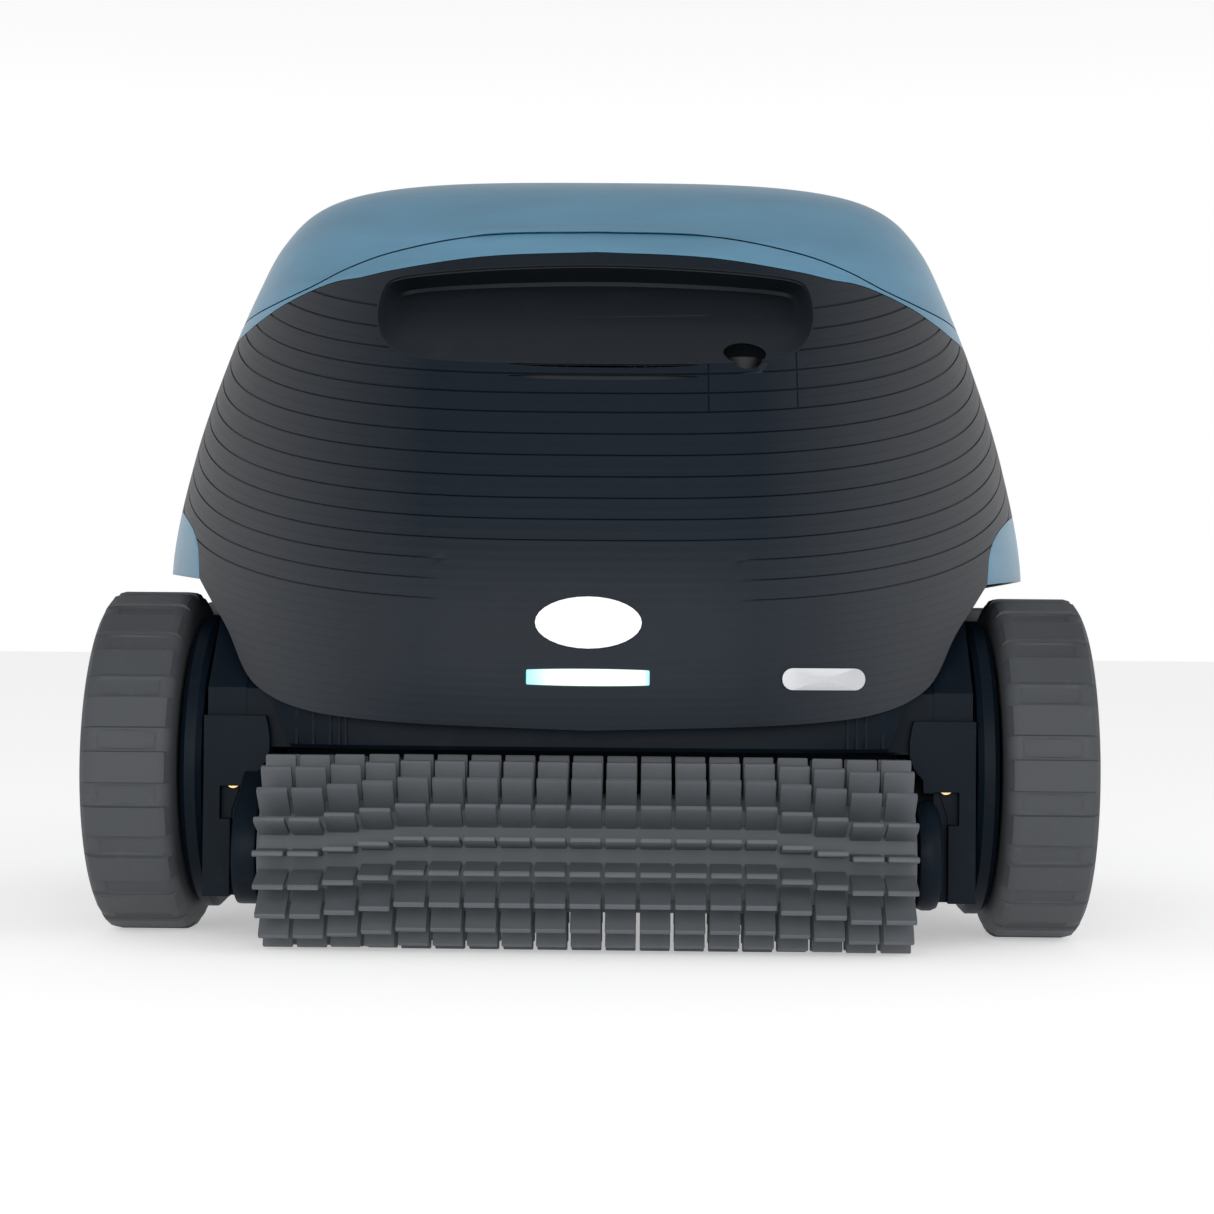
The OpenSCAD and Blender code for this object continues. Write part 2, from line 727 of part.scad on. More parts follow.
module motor_box() {
  color(charcoal) difference() {
    box([-box_half, box_front, box_z + 0.1], [box_half, box_rear, box_top]);
    box([-box_half + box_wall, box_front + box_wall, box_z + box_wall],
      [box_half - box_wall, box_rear - box_wall, box_top + 1]);
    rod(-box_half - 1, box_half + 1, drive_shaft_r + running, mid_y, drive_z);
  }
}

module motor_box_lid() {
  color(charcoal) difference() {
    union() {
      box([-box_half, box_front, box_top + 0.05], [box_half, box_rear, box_top + 3]);
      box([-box_half + box_wall + 0.5, box_front + box_wall + 0.5, box_top - 3],
        [box_half - box_wall - 0.5, box_rear - box_wall - 0.5, box_top + 1]);
    }
    translate([0, pump_y, box_top - 5]) cylinder(h = 10, r = pump_shaft_r + running);
  }
}

module pump_motor() {
  color(steel) translate([0, pump_y, box_z + box_wall + 0.1])
    cylinder(h = box_top - 4 - box_z - box_wall, r = pump_motor_r, $fn = 72);
}

module drive_motors() {
  color(steel) both_sides() {
    rod(14, motor_end - 18, motor_r, mid_y, drive_z);
    rod(motor_end - 18.5, motor_end - 0.1, motor_r - 5, mid_y, drive_z);
  }
}

module control_board() {
  y = mid_y + motor_r + 14;
  color([0.1, 0.4, 0.2]) {
    box([-56, y, box_z + 12], [56, y + 1.6, box_top - 10]);
    for (k = [-1:1])
      box([k * 34 - 9, y + 1.5, box_z + 24], [k * 34 + 9, y + 7, box_z + 42]);
  }
}

module wheel_axles() {
  color(steel) both_sides()
    for (y = [front_y, rear_y]) {
      rod(case_in + 0.4, half_w - 4, axle_r, y, axle_z);
      rod(half_w - 4.7, half_w - 2, axle_r + 4, y, axle_z);
    }
}

module basket_frame() {
  lo = [-basket_half, basket_front, basket_low];
  hi = [basket_half, basket_rear, basket_top];
  color(blue) difference() {
    union() {
      for (z = [lo[2], hi[2] - bar])
        difference() {
          box([lo[0], lo[1], z], [hi[0], hi[1], z + bar]);
          box([lo[0] + bar, lo[1] + bar, z - 1], [hi[0] - bar, hi[1] - bar, z + bar + 1]);
        }
      for (x = [lo[0], -bar / 2, hi[0] - bar], y = [lo[1], hi[1] - bar])
        box([x, y, lo[2]], [x + bar, y + bar, hi[2]]);
      box([-bar * 1.5, lo[1], hi[2] - bar], [bar * 1.5, hi[1], hi[2]]);
      box([-bar, lo[1], lo[2]], [bar, hi[1], lo[2] + bar]);
    }
    translate([0, (lo[1] + hi[1]) / 2, hi[2] - bar / 2])
      cube([bar, 60, bar + 2], center = true);
  }
}

module basket_mesh() {
  t = 1;
  inset = (bar - t) / 2;
  z0 = basket_low + bar + 0.1;
  z1 = basket_top - bar - 0.1;
  color([0.85, 0.88, 0.9]) {
    for (x = [-basket_half + inset, basket_half - inset - t])
      box([x, basket_front + bar + 0.1, z0], [x + t, basket_rear - bar - 0.1, z1]);
    for (y = [basket_front + inset, basket_rear - inset - t], s = [-1, 1])
      box([s > 0 ? bar / 2 + 0.1 : -basket_half + bar + 0.1, y, z0],
        [s > 0 ? basket_half - bar - 0.1 : -bar / 2 - 0.1, y + t, z1]);
  }
}

module hinge_pins() {
  color(steel) both_sides()
    rod(lid_knuckle[0] - 2, hood_knuckle[1] - 1, pin_r, hinge_y, hinge_z);
}

module lid() {
  color(blue) difference() {
    union() {
      difference() {
        intersection() {
          skin_round(level(0.74 * body_h), dome_share, 16, 60, true);
          front_slab(-half_l, lid_rear) above(lid_edge);
        }
        box([-hinge_half, hinge_y - knuckle_r - 1, hinge_z - 20],
          [hinge_half, hinge_y + 20, hinge_z + 20]);
      }
      both_sides() {
        rod(lid_knuckle[0], lid_knuckle[1], knuckle_r, hinge_y, hinge_z);
        box([lid_knuckle[0], hinge_y - knuckle_r - 4, hinge_z - 1],
          [lid_knuckle[1], hinge_y, hinge_z + 1.6]);
      }
    }
    both_sides()
      rod(lid_knuckle[0] - 1, lid_knuckle[1] + 1, pin_r + running, hinge_y, hinge_z);
  }
}

module flap_pins() {
  color(steel) both_sides() {
    rod(intake_x - intake_w / 2 - 6, intake_x + intake_w / 2 + 6, flap_pin_r, flap_y, flap_z);
    for (s = [-1, 1])
      translate([intake_x + s * (intake_w / 2 + 6), flap_y, (flap_z + tub_z + tub_t + 2) / 2])
        cube([4, 7, flap_z + 2 - tub_z - tub_t - 0.1], center = true);
  }
}

module intake_flap(left) {
  a = intake_x - intake_w / 2 - 3;
  b = intake_x + intake_w / 2 + 3;
  z = tub_z + tub_t + 0.4;
  color(charcoal) on_side(left) difference() {
    union() {
      box([a, flap_y, z], [b, intake_y + intake_l / 2 + 3, z + flap_t]);
      rod(a, b, flap_z - z, flap_y, flap_z);
    }
    rod(a - 1, b + 1, flap_pin_r + running, flap_y, flap_z);
  }
}

// ---- Wheels ----

function tread_pts() = let (
  step = 360 / pads,
  half_pad = step * 0.26,
  high = wheel_r / cos(half_pad),
  low = wheel_r - 0.9
) [for (k = [0:pads - 1], q = [[-half_pad, high], [half_pad, high], [half_pad + 0.5, low],
  [step - half_pad - 0.5, low]]) q[1] * [cos(k * step - 90 + q[0]), sin(k * step - 90 + q[0])]];

module tyre(left, y) {
  side = 4;
  color(grey) on_side(left) translate([0, y, axle_z]) difference() {
    intersection() {
      side_slab(tyre_in, half_w) polygon(tread_pts());
      rotate([0, 90, 0]) rotate_extrude($fn = 96)
        polygon([[rim_r, tyre_in], [wheel_r - 3, tyre_in], [wheel_r + 1.2, tyre_in + side],
          [wheel_r + 1.2, half_w - side], [wheel_r - 3, half_w], [rim_r, half_w]]);
    }
    for (k = [0:pads - 1])
      rotate([(k + 0.5) * 360 / pads, 0, 0])
        translate([tyre_in + 4, -wheel_r * sin(180 / pads) * 0.42, -wheel_r - 2])
          cube([tyre_w - 9, wheel_r * sin(180 / pads) * 0.84, pocket_depth + 2]);
  }
}

module rim(left, y) {
  color(navy) on_side(left) translate([0, y, axle_z]) rotate([0, 90, 0]) difference() {
    union() {
      rotate_extrude($fn = 96)
        polygon([[bore_r, flange_out], [14, flange_out], [14, tyre_in + 12], [rim_r - 4, tyre_in + 12],
          [rim_r - 4, tyre_in + 0.5], [rim_r - 0.05, tyre_in + 0.5], [rim_r - 0.05, half_w - 3],
          [rim_r - 4, half_w - 3], [rim_r - 4, tyre_in + 16], [18, tyre_in + 16],
          [16, half_w - 5], [bore_r, half_w - 5]]);
    }
    for (k = [0:5])
      rotate([0, 0, k * 60 + 30])
        translate([(rim_r + 14) / 2, 0, tyre_in]) cylinder(h = tyre_w, r = 8.5, $fn = 48);
  }
}

module flange(left, y) {
  color(navy) on_side(left) translate([0, y, axle_z]) rotate([0, 90, 0])
    rotate_extrude($fn = 96)
      polygon([[bore_r, gear_out], [sleeve_r + 3.5, gear_out], [sleeve_r + 3.5, flange_in],
        [flange_r - 2, flange_in], [flange_r, flange_in + 2], [flange_r, flange_out - 2],
        [flange_r - 2, flange_out], [bore_r, flange_out]]);
}

module wheel_gear(left, y, phase) {
  color(grey) on_side(left) difference() {
    union() {
      gear(wheel_teeth, phase, y, axle_z, gear_in, gear_out);
      if (left && y == front_y) rod(pulley_out, gear_in + 1, sleeve_r, y, axle_z);
    }
    rod(case_in, gear_out + 1, bore_r, y, axle_z);
  }
}

module belt_pulley() {
  color(grey) on_side(true) difference() {
    rod(pulley_in, pulley_out, wheel_pulley_r, front_y, axle_z);
    rod(pulley_in - 1, pulley_out + 1, bore_r, front_y, axle_z);
  }
}

module drive_gear(left) {
  color(grey) on_side(left) {
    gear(drive_teeth, drive_phase, mid_y, drive_z, gear_in, gear_out);
    rod(motor_end, gear_in + 1, drive_shaft_r, mid_y, drive_z);
    rod(gear_out - 1, cover_in + 1.5, drive_shaft_r, mid_y, drive_z);
  }
}

// ---- Brush ----

// Turn of a column: the last few at each end lag behind
function column_turn(k) = let (edge = min(k, columns - 1 - k))
  brush_turn + twist_step * max(0, 4 - max(edge, 1));

// Corners of the blades' outline, as [angle, radius]
function blade_pts() = let (foot = asin(blade_t / 2 / root_r), tip = asin(blade_t / 2 / brush_r))
  [for (k = [0:rows - 1], q = [[-foot, root_r], [-tip, brush_r], [tip, brush_r], [foot, root_r]])
    [k * 360 / rows + q[0], q[1]]];

module brush_sleeve() {
  pts = blade_pts();
  color(grey) difference() {
    union() {
      for (k = [0:columns - 1])
        translate([0, brush_y, brush_z]) rotate([column_turn(k), 0, 0])
          side_slab(-brush_half + k * column_pitch + column_gap / 2,
            -brush_half + (k + 1) * column_pitch - column_gap / 2)
            polygon([for (p = pts) p[1] * [cos(p[0]), sin(p[0])]]);
      rod(-brush_half, brush_half, root_r, brush_y, brush_z);
    }
    rod(-brush_half - 1, brush_half + 1, core_r, brush_y, brush_z);
  }
}

module brush_core() {
  color(navy) {
    rod(-brush_half + 0.5, brush_half - 0.5, core_r - 0.02, brush_y, brush_z);
    rod(brush_half - 1, plate_in - 0.5, core_shaft_r, brush_y, brush_z);
    mirror([1, 0, 0]) {
      rod(brush_half - 1, pulley_in + 1, core_shaft_r, brush_y, brush_z);
      rod(pulley_in, pulley_out, brush_pulley_r, brush_y, brush_z);
    }
  }
}

module impeller() {
  hub_r = 9;
  hub_h = 20;
  color(grey) translate([0, pump_y, 0]) {
    translate([0, 0, box_top - 3.8]) cylinder(h = impeller_z + 2 - box_top + 3.8, r = pump_shaft_r);
    intersection() {
      union() {
        translate([0, 0, impeller_z]) cylinder(h = hub_h, r = hub_r);
        for (k = [0:blades - 1])
          rotate([0, 0, k * 360 / blades])
            translate([hub_r - 2, 0, impeller_z + hub_h / 2]) rotate([38, 0, 0])
              translate([0, -9, -1]) cube([outlet_r, 18, 2]);
      }
      translate([0, 0, impeller_z]) cylinder(h = hub_h, r = outlet_r - 0.5, $fn = 72);
    }
  }
}

underbody();
side_frame(true);  // left_side_frame
side_frame(false);  // right_side_frame
gear_cover(true);  // left_gear_cover
gear_cover(false);  // right_gear_cover
left_belt_cover();
right_brush_bearing();
brush_belt();
front_beam();
leg_cap(true);  // left_leg_cap
leg_cap(false);  // right_leg_cap
leg_screws();
front_shell();
grip_pocket();
cable_cover();
cable_gland();
light_lens();
light_board();
badge();
side_plaque();
hood();
rear_bumper();
outlet_grille();
outlet_duct();
deck();
motor_box();
motor_box_lid();
pump_motor();
drive_motors();
control_board();
wheel_axles();
basket_frame();
basket_mesh();
hinge_pins();
flap_pins();
tyre(true, front_y);  // left_front_tyre
rim(true, front_y);  // left_front_rim
flange(true, front_y);  // left_front_flange
wheel_gear(true, front_y, front_phase);  // left_front_gear
tyre(false, front_y);  // right_front_tyre
rim(false, front_y);  // right_front_rim
flange(false, front_y);  // right_front_flange
wheel_gear(false, front_y, front_phase);  // right_front_gear
tyre(true, rear_y);  // left_rear_tyre
rim(true, rear_y);  // left_rear_rim
flange(true, rear_y);  // left_rear_flange
wheel_gear(true, rear_y, rear_phase);  // left_rear_gear
tyre(false, rear_y);  // right_rear_tyre
rim(false, rear_y);  // right_rear_rim
flange(false, rear_y);  // right_rear_flange
wheel_gear(false, rear_y, rear_phase);  // right_rear_gear
belt_pulley();
drive_gear(true);  // left_drive_gear
drive_gear(false);  // right_drive_gear
brush_sleeve();
brush_core();
lid();
impeller();
intake_flap(true);  // left_intake_flap
intake_flap(false);  // right_intake_flap
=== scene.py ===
"""Robotic pool cleaner: shells, wheels, brush and finishes built round its CAD frame.

Lengths are metres. The front faces -Y, +X is to the right seen from the front, and the floor is z = 0.
"""

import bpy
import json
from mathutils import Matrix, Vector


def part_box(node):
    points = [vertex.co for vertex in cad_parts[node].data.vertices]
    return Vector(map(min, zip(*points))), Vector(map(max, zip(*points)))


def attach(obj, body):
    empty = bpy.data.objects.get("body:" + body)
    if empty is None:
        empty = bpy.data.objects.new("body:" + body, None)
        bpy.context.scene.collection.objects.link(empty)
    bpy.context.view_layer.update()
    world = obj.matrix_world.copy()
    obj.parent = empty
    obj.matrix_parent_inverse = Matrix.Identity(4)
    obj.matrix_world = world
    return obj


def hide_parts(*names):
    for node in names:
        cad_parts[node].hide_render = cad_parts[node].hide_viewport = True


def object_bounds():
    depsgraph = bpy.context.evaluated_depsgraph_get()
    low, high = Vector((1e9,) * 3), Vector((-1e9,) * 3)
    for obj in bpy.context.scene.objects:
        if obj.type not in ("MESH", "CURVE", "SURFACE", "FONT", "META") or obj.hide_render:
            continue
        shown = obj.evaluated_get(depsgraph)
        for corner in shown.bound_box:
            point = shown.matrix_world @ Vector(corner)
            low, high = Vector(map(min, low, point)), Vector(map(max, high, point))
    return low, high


bl_info = {
    "name": "Robotic pool cleaner",
    "version": (1, 0, 0),
    "blender": (4, 5, 0),
    "location": "3D View > Sidebar > Pool cleaner",
    "description": "Builds the visible shells, wheels and brush of a pool cleaner",
    "category": "Object",
}

import json
import math
from contextlib import contextmanager

import bmesh
import bpy
import numpy as np
from bpy.props import FloatProperty, FloatVectorProperty, IntProperty, PointerProperty
from mathutils import Matrix, Vector

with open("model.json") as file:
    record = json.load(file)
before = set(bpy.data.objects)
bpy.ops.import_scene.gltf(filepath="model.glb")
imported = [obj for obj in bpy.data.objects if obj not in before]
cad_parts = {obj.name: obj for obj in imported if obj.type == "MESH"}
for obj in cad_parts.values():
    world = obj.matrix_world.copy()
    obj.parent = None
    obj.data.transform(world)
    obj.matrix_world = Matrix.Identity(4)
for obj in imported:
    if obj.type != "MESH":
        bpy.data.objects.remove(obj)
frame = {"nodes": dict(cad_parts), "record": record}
CAD_BOX = [[float(c) for c in corner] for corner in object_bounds()]

MM = 0.001
HALF_W = CAD_BOX[1][0]
HALF_L = (CAD_BOX[1][1] - CAD_BOX[0][1]) / 2
BODY_H = CAD_BOX[1][2]
WALL = 3 * MM
SEAM = 0.8 * MM

# Outline shares of the body at rising heights: height, half width, front and rear
PROFILE = np.array([
    [0.189, 0.884, -0.881, 0.948], [0.314, 0.921, -0.907, 0.979], [0.453, 0.939, -0.876, 0.990],
    [0.597, 0.903, -0.782, 0.964], [0.723, 0.847, -0.663, 0.907], [0.824, 0.792, -0.523, 0.819],
    [0.896, 0.742, -0.394, 0.705], [0.950, 0.668, -0.259, 0.580], [0.981, 0.547, -0.114, 0.456],
    [0.997, 0.347, 0.041, 0.321], [1.0, 0.0, 0.187, 0.187],
])
SQUARENESS = 3

# Seams seen from the front, as shares of half the width and of the height
LOWER_EDGE = [(0, 0.258), (0.32, 0.264), (0.48, 0.271), (0.56, 0.279), (0.626, 0.293),
              (0.68, 0.318), (0.726, 0.371), (0.771, 0.408), (0.803, 0.434)]
ARCH_EDGE = [(0.803, 0.434), (0.815, 0.478), (0.85, 0.508), (0.92, 0.535), (1.06, 0.57)]
SHELL_TOP = [(0, 0.848), (0.24, 0.841), (0.475, 0.819), (0.563, 0.812), (0.665, 0.789),
             (0.74, 0.766), (0.80, 0.752), (1.06, 0.715)]
LID_EDGE = [(0, 0.883), (0.235, 0.879), (0.418, 0.858), (0.525, 0.836), (0.632, 0.806),
            (0.78, 0.782), (1.06, 0.762)]
SHELL_REAR = 0.13 * HALF_L
LID_REAR = 0.37 * HALF_L
HINGE_HALF = 0.32 * HALF_W
LIP_X = (-54 * MM, 48 * MM)

# Grip opening, front view, right half from the bottom upwards, as shares of the sizes above
GRIP_EDGE = [(0, 0.697), (0.20, 0.698), (0.34, 0.703), (0.40, 0.713), (0.432, 0.730), (0.447, 0.755),
             (0.449, 0.778), (0.443, 0.799), (0.425, 0.813), (0.36, 0.820), (0.19, 0.8275), (0, 0.831)]

GRIP_LOW, GRIP_HIGH = 0.697 * BODY_H, 0.831 * BODY_H

# Planes ahead of and behind the whole object, where cutters end
AHEAD, BEHIND = -0.25, 0.25

# Grooves of the shell lie in planes that rise backwards by this slope
GROOVE_SLOPE = 0.40
GROOVE_ZERO = -127 * MM
MAIN_GROOVE = 208.4 * MM


# The finishes by slot name, filled by the finishes operator
LOOKS = {}


# ---- Groups of settings ----

def length(name, description, default):
    """A length setting, with its default in millimetres."""
    return FloatProperty(name=name, description=description, default=default * MM, subtype="DISTANCE")


def colour(name, description, default):
    """A colour setting, in linear light."""
    return FloatVectorProperty(
        name=name, description=description, default=default, subtype="COLOR", size=3)


class ShellSettings(bpy.types.PropertyGroup):
    groove_pitch: length("Groove pitch", "Distance between the grooves below the grip", 6.8)
    upper_pitch: length("Upper groove pitch", "Distance between the grooves beside the grip", 6.0)
    lower_grooves: IntProperty(
        name="Lower grooves", description="Number of grooves below the main one", default=9)
    upper_grooves: IntProperty(
        name="Upper grooves", description="Number of grooves above the main one", default=5)
    groove_width: length("Groove width", "Width of a groove at its mouth", 0.6)
    groove_depth: length("Groove depth", "Depth of a groove", 0.8)
    navy: colour("Shell colour", "Navy of the front shell", (0.0062, 0.0105, 0.0165))
    blue: colour("Hood colour", "Blue of the hood and lid", (0.100, 0.235, 0.345))


class RunningSettings(bpy.types.PropertyGroup):
    pads: IntProperty(name="Tread pads", description="Number of flat pads round a tyre", default=20)
    pad_step: length("Pad step", "Height of a pad above the ground of the tread", 0.9)
    pocket_depth: length("Pocket depth", "Depth of the pockets between the pads", 0.5)
    rubber: colour("Rubber colour", "Grey of the tyres and brush", (0.050, 0.0545, 0.060))
    columns: IntProperty(name="Brush columns", description="Blade columns along the brush", default=19)
    rows: IntProperty(name="Brush rows", description="Blade rows round the brush", default=18)


class StageSettings(bpy.types.PropertyGroup):
    eye: FloatVectorProperty(
        name="Eye point", description="Place of the camera", default=(0.0217, -1.046, 0.1115),
        subtype="TRANSLATION", size=3)
    focal: FloatProperty(
        name="Focal length", description="Focal length in mm on a 36 mm wide sensor", default=70.93)
    floor: colour("Floor colour", "Colour of the plain floor", (0.90, 0.90, 0.90))


# ---- Shader maths ----

class Field:
    """A shader socket in a Python expression. Each operator adds the Math node that it names."""

    def __init__(self, kit, socket):
        self.kit = kit
        self.socket = socket

    def _math(self, operation, first, second=0.0):
        return self.kit.node("ShaderNodeMath", {"operation": operation}, {0: first, 1: second})

    def __add__(self, other):
        return self._math("ADD", self, other)

    def __sub__(self, other):
        return self._math("SUBTRACT", self, other)

    def __mul__(self, other):
        return self._math("MULTIPLY", self, other)

    def __rsub__(self, other):
        return self._math("SUBTRACT", other, self)

    __radd__ = __add__
    __rmul__ = __mul__

    def wave(self):
        return self._math("SINE", self)


class Kit:
    """One material, or the world, and the nodes that make it."""

    def __init__(self, owner):
        self.material = bpy.data.materials.new(owner) if isinstance(owner, str) else owner
        self.material.use_nodes = True
        self.tree = self.material.node_tree
        self.place = None

    def node(self, kind, settings=None, inputs=None, out=0):
        """Adds a node. Settings go first, then the values or links of its sockets."""
        made = self.tree.nodes.new(kind)
        for key, value in (settings or {}).items():
            setattr(made, key, value)
        for key, value in (inputs or {}).items():
            self.feed(made.inputs[key], value)
        return Field(self, made.outputs[out])

    def feed(self, socket, value):
        if isinstance(value, Field):
            self.tree.links.new(value.socket, socket)
        else:
            socket.default_value = value

    def point(self):
        """Object coordinates, in metres."""
        if self.place is None:
            self.place = self.node("ShaderNodeTexCoord", out="Object")
        return self.place

    def axes(self, place=None):
        """The x, y and z of a point, as three fields."""
        parts = self.node("ShaderNodeSeparateXYZ", None, {0: place or self.point()})
        return [Field(self, out) for out in parts.socket.node.outputs]

    def noise(self, scale, detail=2.0, rough=0.5, stretch=None):
        where = self.point()
        if stretch:
            where = self.node("ShaderNodeMapping", None, {"Vector": where, "Scale": stretch})
        return self.node("ShaderNodeTexNoise", None, {
            "Vector": where, "Scale": scale, "Detail": detail, "Roughness": rough})

    def ramp(self, field, low, high, to_low=0.0, to_high=1.0):
        """Maps a field from one range of numbers to another, clamped."""
        return self.node("ShaderNodeMapRange", {"clamp": True}, {
            "Value": field, "From Min": low, "From Max": high, "To Min": to_low, "To Max": to_high})

    def mix(self, factor, first, second):
        """Colour between two colours."""
        return self.node("ShaderNodeMix", {"data_type": "RGBA"}, {0: factor, 6: first, 7: second}, 2)

    def bump(self, height, distance, strength=1.0, normal=None):
        inputs = {"Height": height, "Distance": distance, "Strength": strength}
        if normal:
            inputs["Normal"] = normal
        return self.node("ShaderNodeBump", None, inputs)

    def set(self, **values):
        """Puts values or links on the shader's own sockets, named with _ for each space."""
        for key, value in values.items():
            self.feed(self.tree.nodes["Principled BSDF"].inputs[key.replace("_", " ")], value)
        return self.material


def rgba(colour, factor=1.0):
    """The colour times a factor, with an alpha of 1."""
    return tuple(min(1.0, c * factor) for c in colour[:3]) + (1.0,)


def moulded(name, colour, roughness, grain, grain_depth=0.02 * MM, mottle=0.12, coat=0.0,
            specular=0.5):
    """Moulded plastic: a fine pebbled grain, slow colour drift, and dust-soft patches in the gloss."""
    kit = Kit(name)
    drift = kit.noise(9.0, 3.0)
    dust = kit.noise(60.0, 4.0, 0.6)
    pebble = kit.noise(grain, 2.0)
    base = kit.mix(drift, rgba(colour, 1 - mottle), rgba(colour, 1 + mottle))
    base = kit.mix(kit.ramp(dust, 0.62, 0.80, 0.0, 0.10), base, rgba([c + 0.05 for c in colour]))
    rough = roughness + (dust - 0.5) * 0.12 + (drift - 0.5) * 0.06
    normal = kit.bump(pebble, grain_depth)
    kit.set(Base_Color=base, Roughness=rough, Normal=normal, Specular_IOR_Level=specular)
    if coat:
        kit.set(Coat_Weight=coat, Coat_Roughness=0.12)
    return kit.material


def shell_finish(colour):
    """Textured navy plastic with faint darker lines along the groove planes, and painted light to the
    sides: the colour turns to a lighter grey where side light falls on the curving shell, and the gloss
    grows rougher there.
    """
    kit = Kit("shell_plastic")
    x, y, z = kit.axes()
    level = z - GROOVE_SLOPE * (y - GROOVE_ZERO)
    # Painted light: a mask that grows towards the curved sides, where the navy is mixed to a lit grey
    # that stands in for the side light
    side = kit.ramp(x * x, (62 * MM) ** 2, (165 * MM) ** 2)
    # Faint darker lines every 3.4 mm along the tilted groove planes, mixed into the colour and given a
    # slight bump
    lines = (level * (2 * math.pi / (3.4 * MM))).wave()
    faint = kit.ramp(lines, 0.97, 1.0, 0.0, 0.35)
    drift = kit.noise(7.0, 3.0)
    dust = kit.noise(70.0, 4.0, 0.6)
    # Painted light: the navy mixed to a lit grey at the sides
    base = kit.mix(side, rgba(colour), rgba([0.085, 0.086, 0.090]))
    base = kit.mix(kit.ramp(drift, 0.3, 0.7, 0.0, 0.22), base, rgba([c * 1.5 for c in colour]))
    base = kit.mix(faint, base, rgba([c * 0.45 for c in colour]))
    rough = 0.42 + (dust - 0.5) * 0.10 + side * 0.10
    pebble = kit.bump(kit.noise(1500.0, 2.0), 0.018 * MM)
    normal = kit.bump(lines, 0.012 * MM, 1.0, pebble)
    return kit.set(Base_Color=base, Roughness=rough, Normal=normal, Specular_IOR_Level=0.14)


def blue_finish(colour):
    """Satin blue plastic with long soft flow streaks and a thin clear coat."""
    kit = Kit("blue_plastic")
    flow = kit.noise(14.0, 4.0, 0.55, (1.0, 1.0, 5.0))
    dust = kit.noise(80.0, 4.0, 0.6)
    base = kit.mix(kit.ramp(flow, 0.25, 0.75), rgba(colour, 0.86), rgba(colour, 1.12))
    base = kit.mix(kit.ramp(dust, 0.6, 0.8, 0.0, 0.12), base, rgba([c + 0.08 for c in colour]))
    rough = 0.40 + (flow - 0.5) * 0.10 + (dust - 0.5) * 0.10
    normal = kit.bump(kit.noise(1300.0, 2.0), 0.010 * MM)
    kit.set(Coat_Weight=0.12, Coat_Roughness=0.25)
    return kit.set(Base_Color=base, Roughness=rough, Normal=normal)


def rubber_finish(name, colour, dry=0.5):
    """Moulded rubber: matt, with mould haze, pale scuffs and a fine grit."""
    kit = Kit(name)
    haze = kit.noise(24.0, 4.0, 0.6)
    scuff = kit.noise(190.0, 3.0, 0.7, (1.0, 0.35, 1.0))
    grit = kit.noise(1100.0, 3.0)
    base = kit.mix(haze, rgba(colour, 0.86), rgba(colour, 1.14))
    base = kit.mix(kit.ramp(scuff, 0.60, 0.78, 0.0, 0.35 * dry), base, rgba([c + 0.07 for c in colour]))
    rough = 0.62 + (haze - 0.5) * 0.16 + (scuff - 0.5) * 0.10
    normal = kit.bump(grit, 0.03 * MM, 1.0, kit.bump(scuff, 0.05 * MM, 0.6))
    return kit.set(Base_Color=base, Roughness=rough, Normal=normal, Specular_IOR_Level=0.35)


def metal_finish(name, colour, roughness, brushed=(1.0, 1.0, 1.0)):
    """Turned or brushed metal: fine drawn lines that change gloss and height a little."""
    kit = Kit(name)
    drawn = kit.noise(900.0, 2.0, 0.6, brushed)
    stain = kit.noise(45.0, 4.0, 0.6)
    base = kit.mix(stain, rgba(colour, 0.82), rgba(colour, 1.1))
    rough = roughness + (drawn - 0.5) * 0.16 + (stain - 0.5) * 0.12
    return kit.set(Base_Color=base, Roughness=rough, Metallic=1.0,
                   Normal=kit.bump(drawn, 0.01 * MM))


def glow_finish():
    """Frosted lens lit from behind: white in the middle, cyan towards its ends."""
    kit = Kit("light_lens")
    x = kit.axes()[0]
    left = kit.ramp(x, -22.5 * MM, -12 * MM, 1.0, 0.0)
    right = kit.ramp(x, 20 * MM, 22.5 * MM, 0.0, 1.0)
    cool = kit.ramp(left + right, 0.0, 1.0)
    haze = kit.noise(300.0, 2.0)
    light = kit.mix(cool, (1.0, 1.0, 1.0, 1.0), (0.22, 0.74, 0.86, 1.0))
    light = kit.mix(haze * 0.05, light, (0.85, 0.97, 1.0, 1.0))
    kit.set(Base_Color=(0.12, 0.22, 0.25, 1.0), Roughness=0.3 + haze * 0.1, Emission_Color=light,
            Normal=kit.bump(haze, 0.01 * MM), Emission_Strength=1.0)
    return kit.material


def board_finish():
    """Coated circuit board: green with copper runs under the coat."""
    kit = Kit("circuit_board")
    runs = kit.node("ShaderNodeTexBrick", {"offset": 0.5}, {
        "Vector": kit.point(), "Scale": 260.0, "Mortar Size": 0.06, "Color1": (0.01, 0.13, 0.05, 1),
        "Color2": (0.015, 0.16, 0.06, 1), "Mortar": (0.05, 0.28, 0.12, 1)})
    cloud = kit.noise(120.0, 3.0)
    base = kit.mix(cloud * 0.3, runs, (0.02, 0.10, 0.05, 1.0))
    return kit.set(Base_Color=base, Roughness=0.3 + cloud * 0.2, Normal=kit.bump(cloud, 0.03 * MM))


